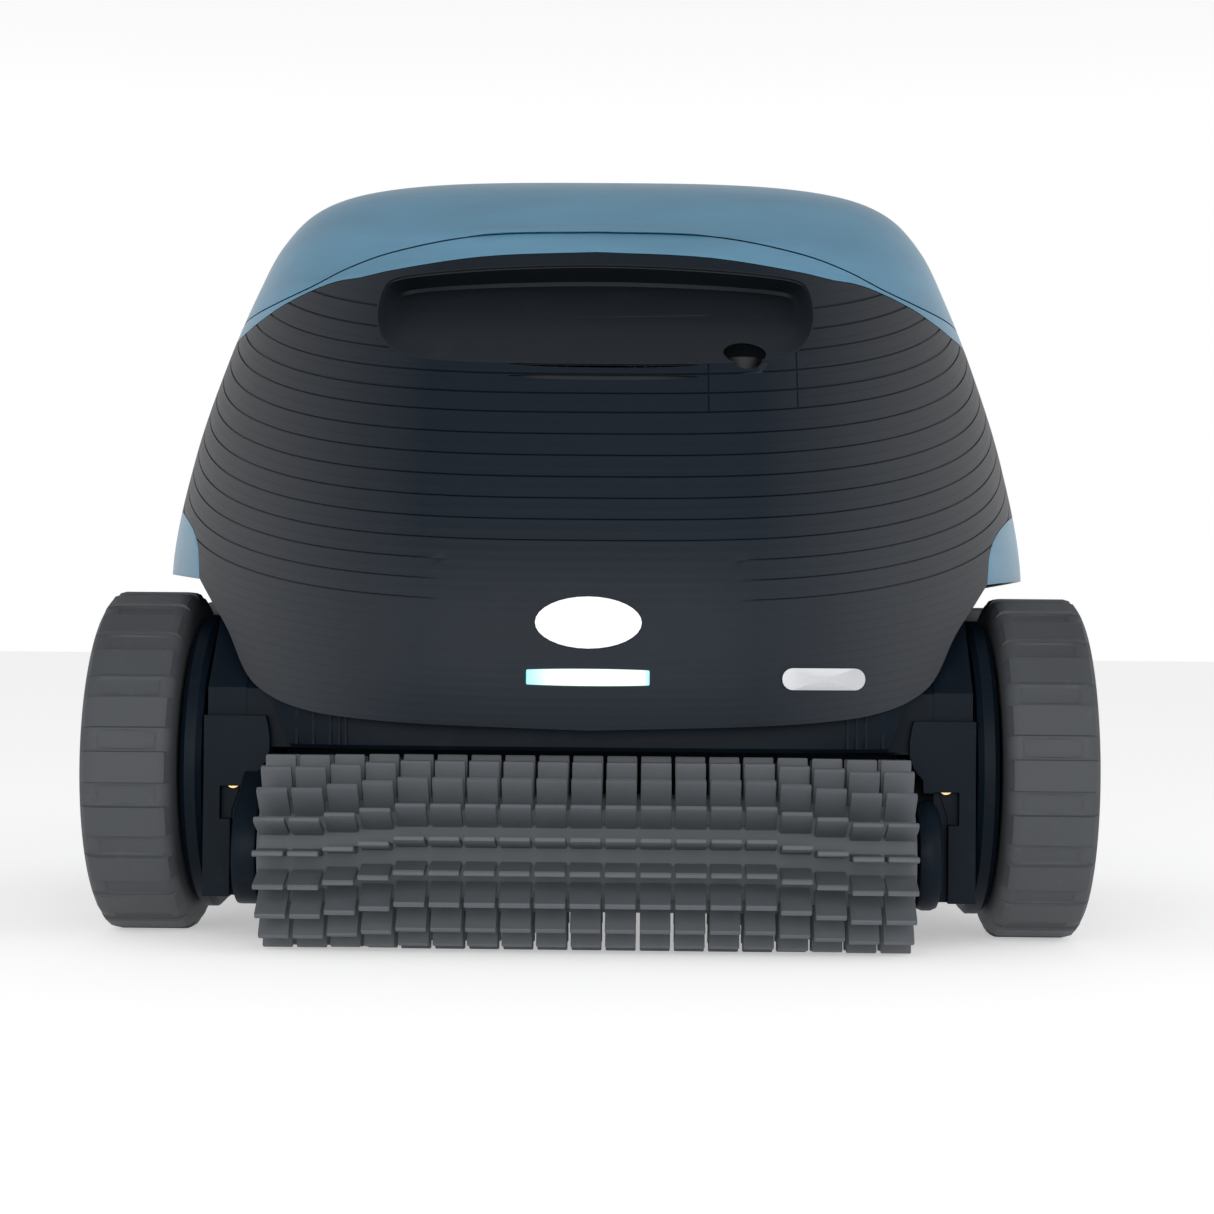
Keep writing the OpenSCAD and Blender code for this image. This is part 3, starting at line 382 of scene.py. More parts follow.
def screen_finish():
    """Woven filter screen: fine warp and weft with open holes between them."""
    kit = Kit("mesh_fabric")
    x, y, z = kit.axes()
    thread = 2 * math.pi / (1.6 * MM)
    warp = ((x + y) * thread).wave()
    weft = (z * thread).wave()
    solid = kit.ramp(kit.ramp(warp, -0.2, 0.2) + kit.ramp(weft, -0.2, 0.2), 0.1, 0.6)
    base = kit.mix(kit.noise(40.0, 3.0), (0.50, 0.55, 0.58, 1.0), (0.70, 0.74, 0.76, 1.0))
    return kit.set(Base_Color=base, Roughness=0.55 + warp * 0.05, Alpha=solid,
                   Normal=kit.bump(warp + weft, 0.1 * MM))


def make_finishes(shell, running):
    """All materials by slot name."""
    navy, liner = (0.0030, 0.0066, 0.0115), (0.0125, 0.0160, 0.0205)
    return {
        "shell_plastic": shell_finish(shell.navy),
        "blue_plastic": blue_finish(shell.blue),
        "navy_plastic": moulded("navy_plastic", navy, 0.42, 1200.0, mottle=0.2, specular=0.08),
        "liner_plastic": moulded("liner_plastic", liner, 0.5, 1700.0, specular=0.14),
        "gear_plastic": moulded("gear_plastic", (0.42, 0.42, 0.39), 0.45, 900.0),
        "tread_rubber": rubber_finish("tread_rubber", running.rubber, 0.5),
        "brush_rubber": rubber_finish("brush_rubber", [c * 1.75 for c in running.rubber], 0.35),
        "black_rubber": rubber_finish("black_rubber", (0.012, 0.012, 0.013), 0.3),
        "steel": metal_finish("steel", (0.58, 0.58, 0.60), 0.28, (1.0, 6.0, 6.0)),
        "motor_metal": metal_finish("motor_metal", (0.28, 0.29, 0.31), 0.45),
        "brass": metal_finish("brass", (0.72, 0.50, 0.22), 0.26),
        "plaque_metal": metal_finish("plaque_metal", (0.55, 0.56, 0.58), 0.34, (0.2, 1.0, 3.0)),
        "light_lens": glow_finish(),
        "circuit_board": board_finish(),
        "badge_white": moulded("badge_white", (0.78, 0.80, 0.82), 0.22, 1600.0, 0.008 * MM, 0.04, 0.5),
        "mesh_fabric": screen_finish(),
    }


# ---- Shapes worked out as arrays ----

def catmull_rom(points, steps, closed=False):
    """A smooth curve through points: on each span the usual cubic of the four nearest points."""
    p = np.asarray(points, dtype=float)
    if closed:
        ring = np.vstack([p[-1:], p, p[:2]])
    else:
        ring = np.vstack([2 * p[0] - p[1], p, 2 * p[-1] - p[-2]])
    t = np.linspace(0, 1, steps, endpoint=False)[None, :, None]
    a, b, c, d = (ring[i:len(ring) - 3 + i, None, :] for i in range(4))
    curve = 0.5 * (2 * b + (c - a) * t + (2 * a - 5 * b + 4 * c - d) * t ** 2
                   + (3 * b - a - 3 * c + d) * t ** 3)
    curve = curve.reshape(-1, p.shape[1])
    return curve if closed else np.vstack([curve, p[-1:]])


SECTIONS = catmull_rom(PROFILE, 80) * np.array([BODY_H, HALF_W, HALF_L, HALF_L])


def section(z):
    """Half width, centre and half length of the body at height z."""
    half = np.interp(z, SECTIONS[:, 0], SECTIONS[:, 1])
    front = np.interp(z, SECTIONS[:, 0], SECTIONS[:, 2])
    rear = np.interp(z, SECTIONS[:, 0], SECTIONS[:, 3])
    return half, (front + rear) / 2, (rear - front) / 2


def on_body(z, bearing):
    """A point of the body at height z, bearing round from the front: a superellipse in polar form."""
    half, centre, length = section(z)
    half = np.maximum(half, 1e-6)
    length = np.maximum(length, 1e-6)
    s, c = np.sin(bearing), np.cos(bearing)
    q = (np.abs(s / half) ** SQUARENESS + np.abs(c / length) ** SQUARENESS) ** (-1 / SQUARENESS)
    return np.stack(np.broadcast_arrays(q * s, centre - q * c, z), axis=-1)


def body_normal(z, bearing, step=0.4 * MM):
    """Outward unit vector of the body: the cross product of its two small steps."""
    side = on_body(z, bearing + 0.004) - on_body(z, bearing - 0.004)
    rise = on_body(np.minimum(z + step, BODY_H), bearing) - on_body(z - step, bearing)
    n = np.cross(side, rise)
    return n / np.maximum(np.linalg.norm(n, axis=-1, keepdims=True), 1e-12)


def front_depth(x, z):
    """Depth y of the front surface behind (x, z) of the front view."""
    half, centre, length = section(z)
    inside = 1 - np.minimum(np.abs(x) / half, 1) ** SQUARENESS
    return centre - length * np.maximum(inside, 0) ** (1 / SQUARENESS)


def level_height(level, bearing):
    """Height at which the body meets the tilted plane of a level, by repeated substitution."""
    z = np.broadcast_to(level, np.broadcast(level, bearing).shape).copy()
    for _ in range(40):
        y = on_body(z, bearing)[..., 1]
        z = 0.5 * z + 0.5 * np.clip(level + GROOVE_SLOPE * (y - GROOVE_ZERO), 0.05, BODY_H - 6 * MM)
    return z


def smoothstep(value, low, high):
    """0 below low, 1 above high, and 3t^2 - 2t^3 between them."""
    t = np.clip((value - low) / (high - low), 0, 1)
    return t * t * (3 - 2 * t)


def cells(rows, cols, wrap_rows=False, wrap_cols=False, start=0):
    """Corner numbers of a grid's cells, anticlockwise when columns go right and rows go up."""
    r = np.arange(rows if wrap_rows else rows - 1)[:, None]
    c = np.arange(cols if wrap_cols else cols - 1)[None, :]
    up, along = (r + 1) % rows * cols, (c + 1) % cols
    corners = np.stack(np.broadcast_arrays(r * cols + c, r * cols + along, up + along, up + c), axis=-1)
    return start + corners.reshape(-1, 4)


def sheet_faces(rows, cols, wrap=False):
    """Faces of a closed sheet: an outer grid, an inner grid, and strips along the open borders."""
    k = rows * cols
    outer = cells(rows, cols, wrap_cols=wrap)
    inner = cells(rows, cols, wrap_cols=wrap, start=k)[:, ::-1]
    c = np.arange(cols if wrap else cols - 1)
    d = (c + 1) % cols
    top = (rows - 1) * cols
    strips = [np.stack([c, c + k, d + k, d], axis=-1),
              np.stack([top + c, top + d, top + d + k, top + c + k], axis=-1)]
    if not wrap:
        r = np.arange(rows - 1) * cols
        s = r + cols
        e = cols - 1
        strips.append(np.stack([r, s, s + k, r + k], axis=-1))
        strips.append(np.stack([r + e, r + e + k, s + e + k, s + e], axis=-1))
    return np.concatenate([outer, inner] + strips)


def make_mesh(name, points, faces):
    """An object whose mesh has these points and faces."""
    mesh = bpy.data.meshes.new(name)
    faces = faces.tolist() if isinstance(faces, np.ndarray) else [list(map(int, f)) for f in faces]
    mesh.from_pydata(np.asarray(points, dtype=float).reshape(-1, 3).tolist(), [], faces)
    mesh.update()
    obj = bpy.data.objects.new(name, mesh)
    bpy.context.scene.collection.objects.link(obj)
    return obj


@contextmanager
def editing(obj):
    """The object's mesh as a BMesh, written back at the end."""
    bm = bmesh.new()
    bm.from_mesh(obj.data)
    yield bm
    bm.to_mesh(obj.data)
    bm.free()


def merge_close(obj, distance):
    """Joins points that coincide and drops faces without area."""
    with editing(obj) as bm:
        bmesh.ops.remove_doubles(bm, verts=bm.verts, dist=distance)
        bmesh.ops.dissolve_degenerate(bm, dist=distance, edges=bm.edges)


def outward(obj):
    """Turns the faces of a closed mesh outwards, by the sign of its volume."""
    with editing(obj) as bm:
        if bm.calc_volume(signed=True) < 0:
            bmesh.ops.reverse_faces(bm, faces=bm.faces)
    return obj


def modified(obj, kind, **settings):
    """Adds one modifier and replaces the mesh with what it makes."""
    mod = obj.modifiers.new(kind.lower(), kind)
    for key, value in settings.items():
        setattr(mod, key, value)
    depsgraph = bpy.context.evaluated_depsgraph_get()
    old = obj.data
    mesh = bpy.data.meshes.new_from_object(obj.evaluated_get(depsgraph))
    obj.modifiers.clear()
    obj.data = mesh
    bpy.data.meshes.remove(old)
    return obj


def carve(obj, cutter, operation="DIFFERENCE"):
    """Cuts obj with a closed cutter, which is then removed."""
    modified(obj, "BOOLEAN", operation=operation, solver="EXACT", object=cutter)
    data = cutter.data
    bpy.data.objects.remove(cutter)
    bpy.data.meshes.remove(data)
    if not obj.data.polygons:
        raise RuntimeError("nothing is left of " + obj.name)
    return obj


def bevelled(obj, width, angle, segments=2):
    """Rounds the edges that are sharper than the angle."""
    return modified(obj, "BEVEL", width=width, segments=segments, limit_method="ANGLE",
                    angle_limit=math.radians(angle), use_clamp_overlap=True, miter_outer="MITER_ARC")


def softened(node, width):
    """A copy of a CAD node with its loose triangles joined and its sharp edges rounded."""
    source = frame["nodes"][node]
    obj = bpy.data.objects.new(node + "_soft", source.data.copy())
    bpy.context.scene.collection.objects.link(obj)
    obj.data.materials.clear()
    with editing(obj) as bm:
        bmesh.ops.remove_doubles(bm, verts=bm.verts, dist=1e-6)
        bmesh.ops.dissolve_limit(bm, angle_limit=math.radians(0.5), verts=bm.verts, edges=bm.edges)
    return bevelled(obj, width, 35)


def joined(name, objects):
    """One object from several."""
    points, faces, start = [], [], 0
    for obj in objects:
        mesh = obj.data
        co = np.empty(len(mesh.vertices) * 3)
        mesh.vertices.foreach_get("co", co)
        points.append(co.reshape(-1, 3))
        faces += [[v + start for v in p.vertices] for p in mesh.polygons]
        start += len(mesh.vertices)
        bpy.data.objects.remove(obj)
        bpy.data.meshes.remove(mesh)
    return make_mesh(name, np.concatenate(points), faces)


def finish(obj, body, slot, replaces, angle, look=None):
    """Gives a piece the material of its slot or look and its shading, hangs it under its body, and
    hides the CAD nodes it replaces.
    """
    obj.data.materials.clear()
    obj.data.materials.append(LOOKS[look or slot])
    obj.data.shade_smooth()
    obj.data.set_sharp_from_angle(angle=math.radians(angle))
    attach(obj, body)
    if replaces:
        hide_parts(*replaces)
    return obj


def between(name, near, far):
    """A closed shape between two outlines with as many points, the near one facing the viewer."""
    n = len(near)
    i = np.arange(n)
    j = (i + 1) % n
    sides = np.stack([i, i + n, j + n, j], axis=-1).tolist()
    return make_mesh(name, np.vstack([near, far]), [i.tolist(), (i[::-1] + n).tolist()] + sides)


def slab(name, outline, low, high, axis="y"):
    """An outline carried straight from low to high. It lies in (x, z) for y, in (y, z) for x and in
    (x, y) for z, and runs anticlockwise seen from -Y, +X or +Z."""
    p = np.asarray(outline, dtype=float)
    n = len(p)
    near, far = (low, high) if axis == "y" else (high, low)
    flat = {"y": lambda d: np.column_stack([p[:, 0], np.full(n, d), p[:, 1]]),
            "x": lambda d: np.column_stack([np.full(n, d), p[:, 0], p[:, 1]]),
            "z": lambda d: np.column_stack([p[:, 0], p[:, 1], np.full(n, d)])}[axis]
    return between(name, flat(near), flat(far))


def block(name, low, high):
    """A box between two corners."""
    x = [low[0], high[0], high[0], low[0]]
    z = [low[2], low[2], high[2], high[2]]
    return slab(name, np.column_stack([x, z]), low[1], high[1])


def mirrored(right):
    """A line from left to right: its right half, with its mirror image before it."""
    return np.vstack([right[:0:-1] * np.array([-1, 1]), right])


def mirrored_edge(shares):
    """A smooth seam from left to right, from the shares of its right half."""
    return mirrored(catmull_rom(shares, 6) * np.array([HALF_W, BODY_H]))


def above(edge):
    """Outline of the region above an edge that runs from left to right."""
    top = 1.4 * BODY_H
    return np.vstack([edge, [[edge[-1, 0], top], [edge[0, 0], top]]])


def lower_line():
    """The shell's lower seam from left to right, with its arches at the ends."""
    right = np.vstack([catmull_rom(LOWER_EDGE, 6), catmull_rom(ARCH_EDGE, 6)[1:]])
    return mirrored(right * np.array([HALF_W, BODY_H]))


def shell_region(grow=0.0):
    """Front-view outline of the front shell, grown by a margin along z."""
    low = lower_line() - np.array([0, grow])
    top = mirrored_edge(SHELL_TOP) + np.array([0, grow])
    brow = smoothstep(np.abs(top[:, 0]), 91 * MM, 89.5 * MM) * 0.7 * MM
    top[:, 1] += brow
    return np.vstack([low, top[::-1]])


def grip_outline(steps=8):
    """Closed outline of the grip opening, anticlockwise in the front view."""
    right = np.array(GRIP_EDGE)
    left = right[-2:0:-1] * np.array([-1, 1])
    return catmull_rom(np.vstack([right, left]) * np.array([HALF_W, BODY_H]), steps, closed=True)


def groove_levels(settings):
    """Levels of all grooves from the lowest to the highest."""
    lower = MAIN_GROOVE - settings.groove_pitch * np.arange(settings.lower_grooves + 1)
    upper = MAIN_GROOVE + settings.upper_pitch * np.arange(1, settings.upper_grooves + 1)
    return np.concatenate([lower[::-1], upper])


# ---- Pieces ----

class CLEANER_OT_finishes(bpy.types.Operator):
    """Make every material and put it on the CAD nodes"""
    bl_idname = "cleaner.finishes"
    bl_label = "Finishes"
    bl_options = {"REGISTER", "UNDO"}

    def execute(self, context):
        LOOKS.update(make_finishes(context.scene.cleaner_shell, context.scene.cleaner_running))
        slots = {s["node"]: s["material_slot"] for s in frame["record"]["subparts"]}
        for name, obj in frame["nodes"].items():
            look = LOOKS[slots[name]]
            if not obj.material_slots:
                obj.data.materials.append(look)
            for material_slot in obj.material_slots:
                material_slot.material = look
        return {"FINISHED"}


class CLEANER_OT_front_shell(bpy.types.Operator):
    """Build the grooved front shell with its openings"""
    bl_idname = "cleaner.front_shell"
    bl_label = "Front shell"
    bl_options = {"REGISTER", "UNDO"}

    def grid(self, settings):
        """Rows are tilted levels, close together at each groove, and columns are bearings. The outer
        skin is pushed in at a groove by its depth."""
        levels = groove_levels(settings)
        half = settings.groove_width / 2
        marks = (levels[:, None] + half * np.array([-1, -0.6, 0.6, 1])).ravel()
        foot, shoulder, row_step = 84 * MM, 242 * MM, 2.4 * MM
        plain = np.arange(foot, shoulder, row_step)
        near = np.abs(plain[:, None] - levels).min(axis=1)
        rows = np.sort(np.concatenate([plain[near > half + 0.25 * MM], marks]))
        bearing = np.radians(np.linspace(-101, 101, 223))
        top = (258 - 15 * (1 - np.cos(bearing))) * MM
        rise = np.linspace(0, 1, 9)[1:, None]
        crown = rows[-1] + rise * (top - rows[-1])
        level = np.vstack([np.broadcast_to(rows[:, None], (len(rows), len(bearing))), crown])
        z = level_height(level, bearing)
        skin = on_body(z, bearing)
        x = skin[..., 0]
        # The lowest grooves run out before the middle, round the badge
        fade = np.where(level < 163 * MM, smoothstep(np.abs(x), 54 * MM, 70 * MM), 1.0)
        gap = np.abs(level[..., None] - levels).min(axis=-1)
        cut = settings.groove_depth * fade * (1 - smoothstep(gap, half * 0.6, half * 1.0))
        normal = body_normal(z, bearing)
        return skin - normal * cut[..., None], skin - normal * WALL

    def vent(self, z, tall):
        """A long slit with pointed ends: its half height falls off as the fourth power."""
        middle, reach = 4 * MM, 36.5 * MM
        t = np.linspace(-1, 1, 25)
        x = middle + t * reach
        half = tall / 2 * (1 - t ** 4) + 0.05 * MM
        sag = 0.6 * MM * t ** 2
        low = np.column_stack([x, z + sag - half])
        high = np.column_stack([x, z + sag + half])[::-1]
        return slab("vent", np.vstack([low, high]), AHEAD, 0.0)

    def side_slot(self, x, low, high):
        """A thin upright cutter that follows the surface a millimetre deep."""
        z = np.linspace(low, high, 8)
        back = np.column_stack([front_depth(np.full(8, x), z) + 1.1 * MM, z])
        outline = np.vstack([[[AHEAD, low]], back, [[AHEAD, high]]])
        return slab("slot", outline, x - 0.28 * MM, x + 0.28 * MM, axis="x")

    def execute(self, context):
        outer, inner = self.grid(context.scene.cleaner_shell)
        obj = make_mesh("front_skin", np.stack([outer, inner]), sheet_faces(*outer.shape[:2]))
        carve(obj, slab("keep", shell_region(), AHEAD, SHELL_REAR), "INTERSECT")
        carve(obj, slab("grip", grip_outline(), AHEAD, 0.0))
        cutters = [slab("lens", lens_outline(0.25 * MM), AHEAD, 0.0), scoop_room(),
                   self.vent(220.1 * MM, 1.5 * MM), self.vent(215.2 * MM, 1.9 * MM),
                   self.side_slot(44 * MM, 201.8 * MM, 224 * MM),
                   self.side_slot(78 * MM, 203.6 * MM, 232 * MM)]
        for cutter in cutters:
            carve(obj, cutter)
        finish(obj, "root", "shell_plastic", ["front_shell", "cable_cover"], 28)
        return {"FINISHED"}


def scoop_profile(grow=0.0):
    """Radius and height of the scoop round the cable gland: a short wall under an elliptic dome."""
    radius, foot, wall, top = 13 * MM + grow, 217.2 * MM, 219 * MM, 231 * MM + grow
    t = np.radians(np.array([0, 12, 25, 38, 50, 62, 73, 82, 88]))
    dome = np.column_stack([radius * np.cos(t), wall + (top - wall) * np.sin(t)])
    return np.vstack([[[6.3 * MM, foot - grow], [radius, foot - grow]], dome])


def scoop_rings(profile):
    """The profile turned round the gland's upright axis."""
    low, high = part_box("cable_gland")
    middle = np.array([(low[0] + high[0]) / 2, low[1] + 6.5 * MM])
    turn = np.radians(np.arange(0, 360, 7.5))
    r, z = profile[:, 0][:, None], profile[:, 1][:, None]
    x, y = middle[0] + r * np.cos(turn), middle[1] + r * np.sin(turn)
    return np.stack(np.broadcast_arrays(x, y, z), axis=-1)


def scoop_room():
    """The scoop's inside as a closed cutter."""
    rings = scoop_rings(scoop_profile())[1:]
    rows, cols = rings.shape[:2]
    ring = np.arange(cols)
    faces = cells(rows, cols, wrap_cols=True).tolist()
    faces += [ring[::-1].tolist(), (ring + (rows - 1) * cols).tolist()]
    return outward(make_mesh("scoop", rings, faces))


def lens_outline(grow=0.0):
    """Barrel outline of the light lens: flat ends, and long sides that bulge."""
    low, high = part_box("light_lens")
    t = np.linspace(-1, 1, 13)
    half = (high[0] - low[0]) / 2 + grow
    mid = (low[2] + high[2]) / 2
    tall = (high[2] - low[2]) / 2 * (1 - 0.12 * t ** 2) + grow
    return np.vstack([np.column_stack([t * half, mid - tall]),
                      np.column_stack([t[::-1] * half, mid + tall[::-1]])])


class CLEANER_OT_light(bpy.types.Operator):
    """Build the glowing lens"""
    bl_idname = "cleaner.light"
    bl_label = "Light lens"
    bl_options = {"REGISTER", "UNDO"}

    def execute(self, context):
        outline = lens_outline()
        depth = front_depth(outline[:, 0], outline[:, 1])
        front = np.column_stack([outline[:, 0], depth - 0.35 * MM, outline[:, 1]])
        back = np.column_stack([outline[:, 0], depth + WALL, outline[:, 1]])
        obj = between("lens", front, back)
        bevelled(obj, 0.5 * MM, 50, 3)
        finish(obj, "root", "light_lens", ["light_lens"], 40)
        return {"FINISHED"}


class CLEANER_OT_grip(bpy.types.Operator):
    """Build the leaning liner of the grip, its rim and the cable scoop"""
    bl_idname = "cleaner.grip"
    bl_label = "Grip pocket"
    bl_options = {"REGISTER", "UNDO"}

    def panel(self, x, z):
        """Depth of the liner's back: level with the surface below, and deep at the top."""
        h = np.clip((z - GRIP_LOW) / (GRIP_HIGH - GRIP_LOW), 0, 1)
        bottom = front_depth(x, np.full_like(z, GRIP_LOW)) + 1.2 * MM
        top = front_depth(x, np.full_like(z, GRIP_HIGH)) + 27 * MM
        return bottom + (top - bottom) * h ** 1.15

    def execute(self, context):
        edge = grip_outline(10)
        n = len(edge)
        spine_x = np.clip(edge[:, 0], -66 * MM, 66 * MM)
        spine = np.column_stack([spine_x, np.full(n, 0.764 * BODY_H)])
        shares = np.array([-0.035, -0.02, 0.0, 0.02, 0.10, 0.18, 0.26, 0.36, 0.5, 0.66, 0.82, 0.94])
        depths = np.array([0.0, 0.0, 0.0, 0.10, 0.55, 0.88, 1.0, 1.0, 1.0, 1.0, 1.0, 1.0])
        lift = np.array([0.1, -0.25, -0.1, 0.2, 0, 0, 0, 0, 0, 0, 0, 0]) * MM
        ring = edge[None] + shares[:, None, None] * (spine - edge)[None]
        x, z = ring[..., 0], ring[..., 1]
        surface = front_depth(x, z)
        y = surface + depths[:, None] * (self.panel(x, z) - surface) + lift[:, None]
        points = np.stack([x, y, z], axis=-1)
        obj = make_mesh("grip_liner", points, cells(len(shares), n, wrap_cols=True))
        self.complete(obj, len(points), n)
        self.scoop()
        return {"FINISHED"}

    def scoop(self):
        """The scoop's wall and floor, cut off where they would stand in front of the liner, and a strip
        behind the slits below the grip."""
        inside, outside = scoop_rings(scoop_profile()), scoop_rings(scoop_profile(1.2 * MM))
        obj = make_mesh("cable_scoop", np.stack([outside, inside]),
                        sheet_faces(*inside.shape[:2], wrap=True))
        outward(obj)
        low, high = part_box("cable_gland")
        x = (low[0] + high[0]) / 2
        z = np.linspace(214, 236, 12) * MM
        lip = 0.700 * BODY_H
        at = np.full_like(z, x)
        depth = np.where(z < lip, front_depth(at, z), self.panel(at, z)) + 0.8 * MM
        outline = np.vstack([[[AHEAD, z[0]]], np.column_stack([depth, z]), [[AHEAD, z[-1]]]])
        carve(obj, slab("front", outline, x - 20 * MM, x + 20 * MM, axis="x"))
        x = np.linspace(-36, 44, 17) * MM
        top = 217.5 * MM
        back = front_depth(x, np.full_like(x, top)) + 1.2 * MM
        plan = np.vstack([np.column_stack([x, back]), np.column_stack([x, back + 1.5 * MM])[::-1]])
        strip = outward(slab("slit_back", plan, top - 8 * MM, top, axis="z"))
        obj = joined("scoop_and_slits", [obj, strip])
        finish(obj, "root", "shell_plastic", (), 40, "liner_plastic")

    def complete(self, obj, rings, n):
        """Closes the middle of the liner, gives it a wall behind and opens the scoop in it."""
        with editing(obj) as bm:
            bm.verts.ensure_lookup_table()
            bm.faces.new(bm.verts[(rings - 1) * n:rings * n])
        modified(obj, "SOLIDIFY", thickness=1.6 * MM, offset=-1)
        carve(obj, scoop_room())
        finish(obj, "root", "shell_plastic", ["grip_pocket"], 40, "liner_plastic")


class CLEANER_OT_chassis(bpy.types.Operator):
    """Build the beam over the brush, the leg brackets and the panels behind the shell"""
    bl_idname = "cleaner.chassis"
    bl_label = "Chassis front"
    bl_options = {"REGISTER", "UNDO"}

    def execute(self, context):
        low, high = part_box("front_beam")
        cap_low, cap_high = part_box("right_leg_cap")
        frame_low, frame_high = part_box("right_side_frame")
        self.beam(low, high)
        for sign, side in ((-1, "left"), (1, "right")):
            self.bracket(side, sign, cap_low, cap_high)
            self.arch(side, sign, frame_low, frame_high)
        return {"FINISHED"}

    def beam(self, low, high):
        """A hollow front wall: depth bows forward in the middle by a cosine, and its ends slope in
        towards the bottom. Thin upright ribs stand on its face near both ends."""
        t = np.linspace(-1, 1, 61)
        z = np.array([low[2], low[2] + 1.5 * MM, low[2] + 9 * MM, low[2] + 26 * MM])
        half = np.interp(z, [z[0], z[-1]], [high[0] - 8.6 * MM, high[0] + 2 * MM])
        x = t * half[:, None]
        y = low[1] - 1.5 * MM * np.cos(t * math.pi / 2) + np.array([1.5, 0, 0, 4])[:, None] * MM
        y = y + 9 * MM * np.abs(t) ** 6
        outer = np.stack(np.broadcast_arrays(x, y, z[:, None]), axis=-1)
        inner = outer + np.array([0, 3 * MM, 0])
        wall = make_mesh("beam_wall", np.stack([outer, inner]), sheet_faces(*outer.shape[:2]))
        parts = [wall]
        for x0 in (-109, -102.5, -96, -92.5, -90, 96, 99.5, 103, 109.5):
            share = abs(x0 * MM) / half[1]
            face = low[1] - 1.5 * MM * math.cos(share * math.pi / 2) + 9 * MM * share ** 6
            parts.append(block("rib", (x0 * MM - 0.5 * MM, face - 0.9 * MM, low[2] + 1.5 * MM),
                               (x0 * MM + 0.5 * MM, face + 3 * MM, low[2] + 15 * MM)))
        obj = joined("beam_front", parts)
        finish(obj, "root", "navy_plastic", ["front_beam"], 30)

    def bracket(self, side, sign, low, high):
        """A rounded plate over the leg with a slot that shows its screw."""
        inner_edge = np.array([[1.0, 0], [0.2, -3], [-0.6, -8], [-0.6, -13], [0.6, -17], [2.6, -20],
                               [4.4, -22], [4.6, -27], [11.0, -27], [14.0, -36]]) * MM
        inner_edge = inner_edge + np.array([low[0], high[2]])
        foot = [[inner_edge[-1, 0], low[2]], [high[0], low[2]], [high[0], high[2]]]
        outline = np.vstack([foot, inner_edge])
        outline = outline * np.array([sign, 1])
        outline = outline if sign > 0 else outline[::-1]
        obj = slab(side + "_bracket", outline, low[1] - 1.3 * MM, high[1])
        mid = sign * ((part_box("leg_screws")[1][0]) - 2.6 * MM)
        slot = block("slot", (mid - 4.7 * MM, low[1] - 5 * MM, 47 * MM),
                     (mid + 4.7 * MM, high[1] - 0.6 * MM, 59.3 * MM))
        carve(obj, slot)
        bevelled(obj, 0.35 * MM, 40)
        finish(obj, "root", "navy_plastic", [side + "_leg_cap"], 20)

    def arch(self, side, sign, low, high):
        """A bent panel between the leg and the shell: straight up, then sloping back with the frame."""
        front = low[1] + 0.3 * MM
        top = high[2] - 0.4 * MM
        path = np.array([[front, 74 * MM], [front, top - 50 * MM], [front + 46 * MM, top]])
        back = path[::-1] + np.array([3 * MM, -1 * MM])
        ends = sorted((sign * 98 * MM, sign * (low[0] + 21 * MM)))
        obj = slab(side + "_arch", np.vstack([back, path])[::-1], ends[0], ends[1], axis="x")
        outward(obj)
        finish(obj, "root", "navy_plastic", (), 30)


class CLEANER_OT_softened(bpy.types.Operator):
    """Round the edges of the moulded parts that keep their shape"""
    bl_idname = "cleaner.softened"
    bl_label = "Moulded parts"
    bl_options = {"REGISTER", "UNDO"}

    def execute(self, context):
        owners = {s["node"]: (s.get("body", "root"), s["material_slot"])
                  for s in frame["record"]["subparts"]}
        plan = {"left_belt_cover": 3.0, "right_brush_bearing": 3.0, "rear_bumper": 2.0,
                "outlet_grille": 0.5, "cable_gland": 0.5}
        for node, width in plan.items():
            body, slot = owners[node]
            finish(softened(node, width * MM), body, slot, [node], 30)
        return {"FINISHED"}


